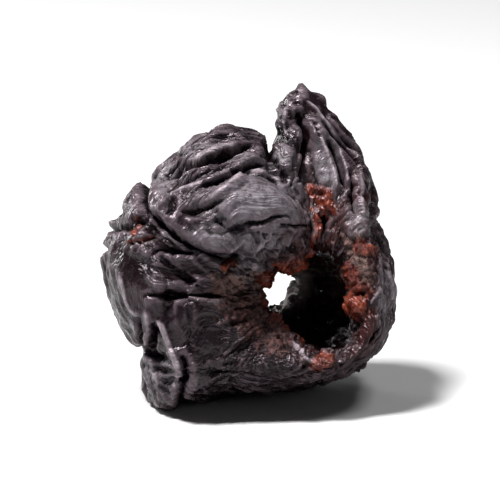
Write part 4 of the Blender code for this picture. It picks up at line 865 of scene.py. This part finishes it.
# Spots of bloom with painted highlight, of painted shade, of pale torn skin and of smooth skin.
for name, places, soft in (
    ("bloom_and_highlight", BLOOM_AND_HIGHLIGHT, COLOUR_EDGE), ("painted_shade", PAINTED_SHADE_SPOTS, COLOUR_EDGE), ("pale", PALE, COLOUR_EDGE),
    ("calm", SMOOTH, SMOOTH_EDGE),
):
    paint(fruit, name, spots(skin_points, places, soft))
for name, place in zip(("pleats", "rings"), lines):
    paint(fruit, name, place, "FLOAT_VECTOR", "vector")

# Of the colours below, the dust, bloom, worn crest and worn edge colours are partly painted highlight, the
# near-black hollow, crease and shaded-skin colours are painted shade, and the pale wall colour is painted
# light.
BLACK_SKIN = (0.0044, 0.0015, 0.0023)
PURPLE_SKIN = (0.0100, 0.0038, 0.0062)
WARM_SKIN = (0.044, 0.012, 0.010)
PAINTED_SHADE_SKIN = (0.0030, 0.0014, 0.0022)
DUST_AND_HIGHLIGHT = (0.066, 0.055, 0.065)
THICK_BLOOM_AND_HIGHLIGHT = (0.190, 0.172, 0.190)
WORN_CREST_AND_HIGHLIGHT = (0.088, 0.066, 0.076)
WORN_EDGE_AND_HIGHLIGHT = (0.27, 0.225, 0.25)
NARROW_HOLLOW_SHADE = (0.004, 0.0014, 0.0016)
BROAD_HOLLOW_SHADE = (0.004, 0.0018, 0.0022)
CREASE_SHADE = (0.004, 0.0014, 0.0018)
DARK_TORN = (0.016, 0.0045, 0.004)
LIGHT_TORN = (0.078, 0.034, 0.028)
PALE_TORN = (0.150, 0.094, 0.080)
TORN_HOLLOW_SHADE = (0.014, 0.004, 0.002)
TUNNEL_WALL = (0.014, 0.004, 0.003)
LIT_WALL_PAINT = (0.400, 0.335, 0.320)
DARK_FLESH = (0.052, 0.007, 0.003)
LIGHT_FLESH = (0.155, 0.031, 0.015)
FLESH_HOLLOW_SHADE = (0.050, 0.005, 0.002)
GLOSSY = (0.25, 0.42)  # least and most roughness of the skin, and what torn skin, flesh and places of painted shade add
TORN_ROUGHER = 0.22
FLESH_ROUGHER = -0.04
PAINTED_SHADE_ROUGHER = -0.05
SHINE = 0.32
SHINE_TINT = (1.0, 0.84, 0.91, 1)
LINE_RELIEF = ((1.1, 0.24), (2.7, 0.13), (5.2, 0.04))  # how close the wrinkle lines are, and their height
CREPE_RELIEF = 0.12
GRIT_RELIEF = 0.06
FIBRE_RELIEF = 0.5
RELIEF_STRENGTH = 0.8
RELIEF_DEPTH = 0.0010  # in metres


def prune_skin():
    """Near-black purple skin with painted shade and highlight, brown where torn, orange-red where the flesh
    shows, with fine wrinkle lines.
    """
    material = bpy.data.materials.new("prune skin")
    material.use_nodes = True
    tree = material.node_tree
    links = tree.links
    shader = tree.nodes["Principled BSDF"]
    place = tree.nodes.new("ShaderNodeTexCoord").outputs["Object"]

    def read(name, socket="Fac"):
        """What was painted on the mesh under that name."""
        made = tree.nodes.new("ShaderNodeAttribute")
        made.attribute_name = name
        return made.outputs[socket]

    def noise(scale, detail=4.0, rough=0.55, bent=0.0, where=place):
        """Drifting noise from 0 to 1, so many waves a metre."""
        made = tree.nodes.new("ShaderNodeTexNoise")
        links.new(where, made.inputs["Vector"])
        for name, value in (("Scale", scale), ("Detail", detail), ("Roughness", rough), ("Distortion", bent)):
            made.inputs[name].default_value = value
        return made.outputs["Fac"]

    def math(kind, *values):
        """A sum, product or other operation on numbers and sockets."""
        made = tree.nodes.new("ShaderNodeMath")
        made.operation = kind
        for slot, value in enumerate(values):
            if isinstance(value, (int, float)):
                made.inputs[slot].default_value = value
            else:
                links.new(value, made.inputs[slot])
        return made.outputs[0]

    def times(a, b):
        """The product of two numbers."""
        return math("MULTIPLY", a, b)

    def span(value, low, high, to_low=0.0, to_high=1.0):
        """An S curve from one number at the low end to another at the high one."""
        made = tree.nodes.new("ShaderNodeMapRange")
        made.interpolation_type = "SMOOTHSTEP"
        links.new(value, made.inputs["Value"])
        for name, number in (("From Min", low), ("From Max", high), ("To Min", to_low), ("To Max", to_high)):
            made.inputs[name].default_value = number
        return made.outputs["Result"]

    def mix(share, a, b):
        """Colour a with that share of it turned into colour b."""
        made = tree.nodes.new("ShaderNodeMix")
        made.data_type = "RGBA"
        links.new(share, made.inputs["Factor"])
        for slot, value in ((6, a), (7, b)):
            if isinstance(value, tuple):
                made.inputs[slot].default_value = value + (1,)
            else:
                links.new(value, made.inputs[slot])
        return made.outputs[2]

    def lined(name, scale):
        """Fine crests along the wrinkles: 1 less five times how far stretched noise is from its middle."""
        off = math("ABSOLUTE", math("SUBTRACT", noise(scale, 1.5, 0.5, 0.4, read(name, "Vector")), 0.5))
        return math("SUBTRACT", 1.0, times(off, 5.0))

    def blend(share, a, b):
        """Number a with that share of it turned into number b."""
        return math("ADD", times(a, math("SUBTRACT", 1.0, share)), times(b, share))

    grit = noise(2200, 3, 0.6)
    hollow = read("hollow")
    broad = read("broad")
    painted_shade = read("painted_shade")
    warm = times(read("warm"), span(noise(420, 3), 0.35, 0.6))
    skin = mix(span(noise(260, 3), 0.35, 0.65), BLACK_SKIN, PURPLE_SKIN)
    skin = mix(times(warm, 0.8), skin, WARM_SKIN)

    raised = math("MULTIPLY_ADD", math("SUBTRACT", grit, 0.5), 0.9, times(hollow, -1.0))
    speckle = span(noise(1300, 4, 0.7), 0.36, 0.62)
    # Dust in drifting patches, and painted highlight where the skin swells broadly.
    dust_and_highlight = math("ADD", span(noise(170, 3, 0.6), 0.52, 0.76, 0.0, 0.25), span(broad, -0.1, -0.9, 0.0, 0.2))
    skin = mix(times(dust_and_highlight, speckle), skin, DUST_AND_HIGHLIGHT)
    # Grey bloom, partly painted highlight, on the listed swellings.
    skin = mix(times(read("bloom_and_highlight"), span(speckle, 0.0, 1.0, 0.35, 0.85)), skin, THICK_BLOOM_AND_HIGHLIGHT)
    # Crests worn pale, partly painted highlight.
    skin = mix(times(span(raised, 0.25, 1.0), 0.55), skin, WORN_CREST_AND_HIGHLIGHT)
    # Painted shade in narrow and broad hollows and in the creases.
    skin = mix(times(span(hollow, 0.0, 0.7), 0.85), skin, NARROW_HOLLOW_SHADE)
    skin = mix(times(span(broad, 0.0, 0.8), 0.8), skin, BROAD_HOLLOW_SHADE)
    skin = mix(times(span(read("sunk"), 0.05, 0.8), 0.9), skin, CREASE_SHADE)
    # Painted shade: the skin painted near black in the listed places in shade, less on crests.
    skin = mix(times(painted_shade, span(raised, 0.9, -0.1, 0.0, 0.95)), skin, PAINTED_SHADE_SKIN)
    # Painted highlight along the ridges' crests, with a worn pale tone.
    edge = times(span(read("edge"), 0.4, 0.9), span(speckle, 0.0, 1.0, 0.45, 0.9))
    skin = mix(edge, skin, WORN_EDGE_AND_HIGHLIGHT)

    torn = read("torn")
    mottled = noise(1500, 4)
    brown = mix(span(mottled, 0.4, 0.62), DARK_TORN, LIGHT_TORN)
    brown = mix(times(read("pale"), span(mottled, 0.35, 0.6, 0.3, 0.9)), brown, PALE_TORN)
    # Painted shade in the hollows of the torn skin.
    brown = mix(span(hollow, 0.1, 0.8), brown, TORN_HOLLOW_SHADE)
    wet = read("flesh")
    red = mix(span(noise(900, 4, 0.6, 0.5), 0.38, 0.62), DARK_FLESH, LIGHT_FLESH)
    # Painted shade in the hollows of the flesh.
    red = mix(times(span(hollow, 0.1, 0.8), 0.7), red, FLESH_HOLLOW_SHADE)
    colour = mix(torn, skin, brown)
    colour = mix(read("tunnel"), colour, TUNNEL_WALL)
    # Painted light: the wall beside the tunnel's far end painted pale as if lit from behind.
    colour = mix(read("painted_lit_wall"), colour, LIT_WALL_PAINT)
    colour = mix(wet, colour, red)
    links.new(colour, shader.inputs["Base Color"])

    rough = math("ADD", span(noise(900, 4, 0.6), 0.3, 0.7, *GLOSSY), times(torn, TORN_ROUGHER))
    rough = math("MULTIPLY_ADD", wet, FLESH_ROUGHER, rough)
    rough = math("MULTIPLY_ADD", painted_shade, PAINTED_SHADE_ROUGHER, rough)
    links.new(rough, shader.inputs["Roughness"])
    shader.inputs["Specular IOR Level"].default_value = SHINE
    shader.inputs["Specular Tint"].default_value = SHINE_TINT

    still = math("SUBTRACT", 1.0, times(read("calm"), 0.6))
    crepe = times(noise(1400, 3, 0.5, 0.4), CREPE_RELIEF)
    height = math("ADD", crepe, times(grit, GRIT_RELIEF))
    for scale, relief in LINE_RELIEF:
        line = blend(read("ringed"), lined("pleats", scale), lined("rings", scale))
        height = math("MULTIPLY_ADD", times(line, still), relief, height)
    fibres = times(times(noise(2600, 4, 0.65), torn), FIBRE_RELIEF)
    bump = tree.nodes.new("ShaderNodeBump")
    bump.inputs["Strength"].default_value = RELIEF_STRENGTH
    bump.inputs["Distance"].default_value = RELIEF_DEPTH
    links.new(math("ADD", height, fibres), bump.inputs["Height"])
    links.new(bump.outputs["Normal"], shader.inputs["Normal"])
    return material


fruit.data.materials.append(prune_skin())
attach(fruit, "root")
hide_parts("prune")

# The surface
# A plain sheet of pale grey card that the light burns out to white, with no edge in view.
CARD_HALF = 3
CARD_GREY = (0.55, 0.55, 0.55, 1)
CARD_ROUGHNESS = 0.7

corners = [(x * CARD_HALF, y * CARD_HALF, 0) for x, y in ((-1, -1), (1, -1), (1, 1), (-1, 1))]
card_mesh = bpy.data.meshes.new("card")
card_mesh.from_pydata(corners, [], [(0, 1, 2, 3)])
card = bpy.data.objects.new("card", card_mesh)
bpy.context.scene.collection.objects.link(card)
card_paint = bpy.data.materials.new("pale card")
card_paint.use_nodes = True
card_shader = card_paint.node_tree.nodes["Principled BSDF"]
card_shader.inputs["Base Color"].default_value = CARD_GREY
card_shader.inputs["Roughness"].default_value = CARD_ROUGHNESS
card.data.materials.append(card_paint)

# The light
# One soft box above to the left does most of it. A weaker one stands above to the right, a faint one in front
# to the right, and one behind to the left shines into the tunnel's far end. The room is nearly dark.
ROOM_STRENGTH = 0.05
LIT_POINT = Vector((0, 0, 0.015))
SOFT_BOXES = {
    "key": ((-0.15, -0.05, 0.40), 0.09, 4.6),
    "top": ((0.16, -0.02, 0.44), 0.12, 0.8),
    "fill": ((0.30, -0.30, 0.20), 0.12, 0.06),
    "back": ((-0.27, 0.28, 0.09), 0.08, 0.5),
}

room = bpy.data.worlds.new("room")
room.use_nodes = True
room.node_tree.nodes["Background"].inputs["Color"].default_value = (1, 1, 1, 1)
room.node_tree.nodes["Background"].inputs["Strength"].default_value = ROOM_STRENGTH
bpy.context.scene.world = room

for name, (at, size, power) in SOFT_BOXES.items():
    light = bpy.data.lights.new(name, "AREA")
    light.energy = power
    light.size = size
    box = bpy.data.objects.new(name, light)
    box.location = at
    box.rotation_euler = (LIT_POINT - Vector(at)).to_track_quat("-Z", "Y").to_euler()
    bpy.context.scene.collection.objects.link(box)

# The camera
# Level with the photograph's view: square on to the mouth and 15 degrees above the surface.
LENS = 280
NEAREST = 0.01
AIM = Vector((0.0011, 0.0, 0.0152))
AWAY = 0.40

view = bpy.data.cameras.new("view")
view.lens = LENS
view.clip_start = NEAREST
camera = bpy.data.objects.new("view", view)
toward = Vector((0, np.cos(LEAN), -np.sin(LEAN)))
camera.location = AIM - toward * AWAY
camera.rotation_euler = toward.to_track_quat("-Z", "Y").to_euler()
bpy.context.scene.collection.objects.link(camera)
bpy.context.scene.camera = camera
bpy.context.scene.view_settings.view_transform = "Standard"
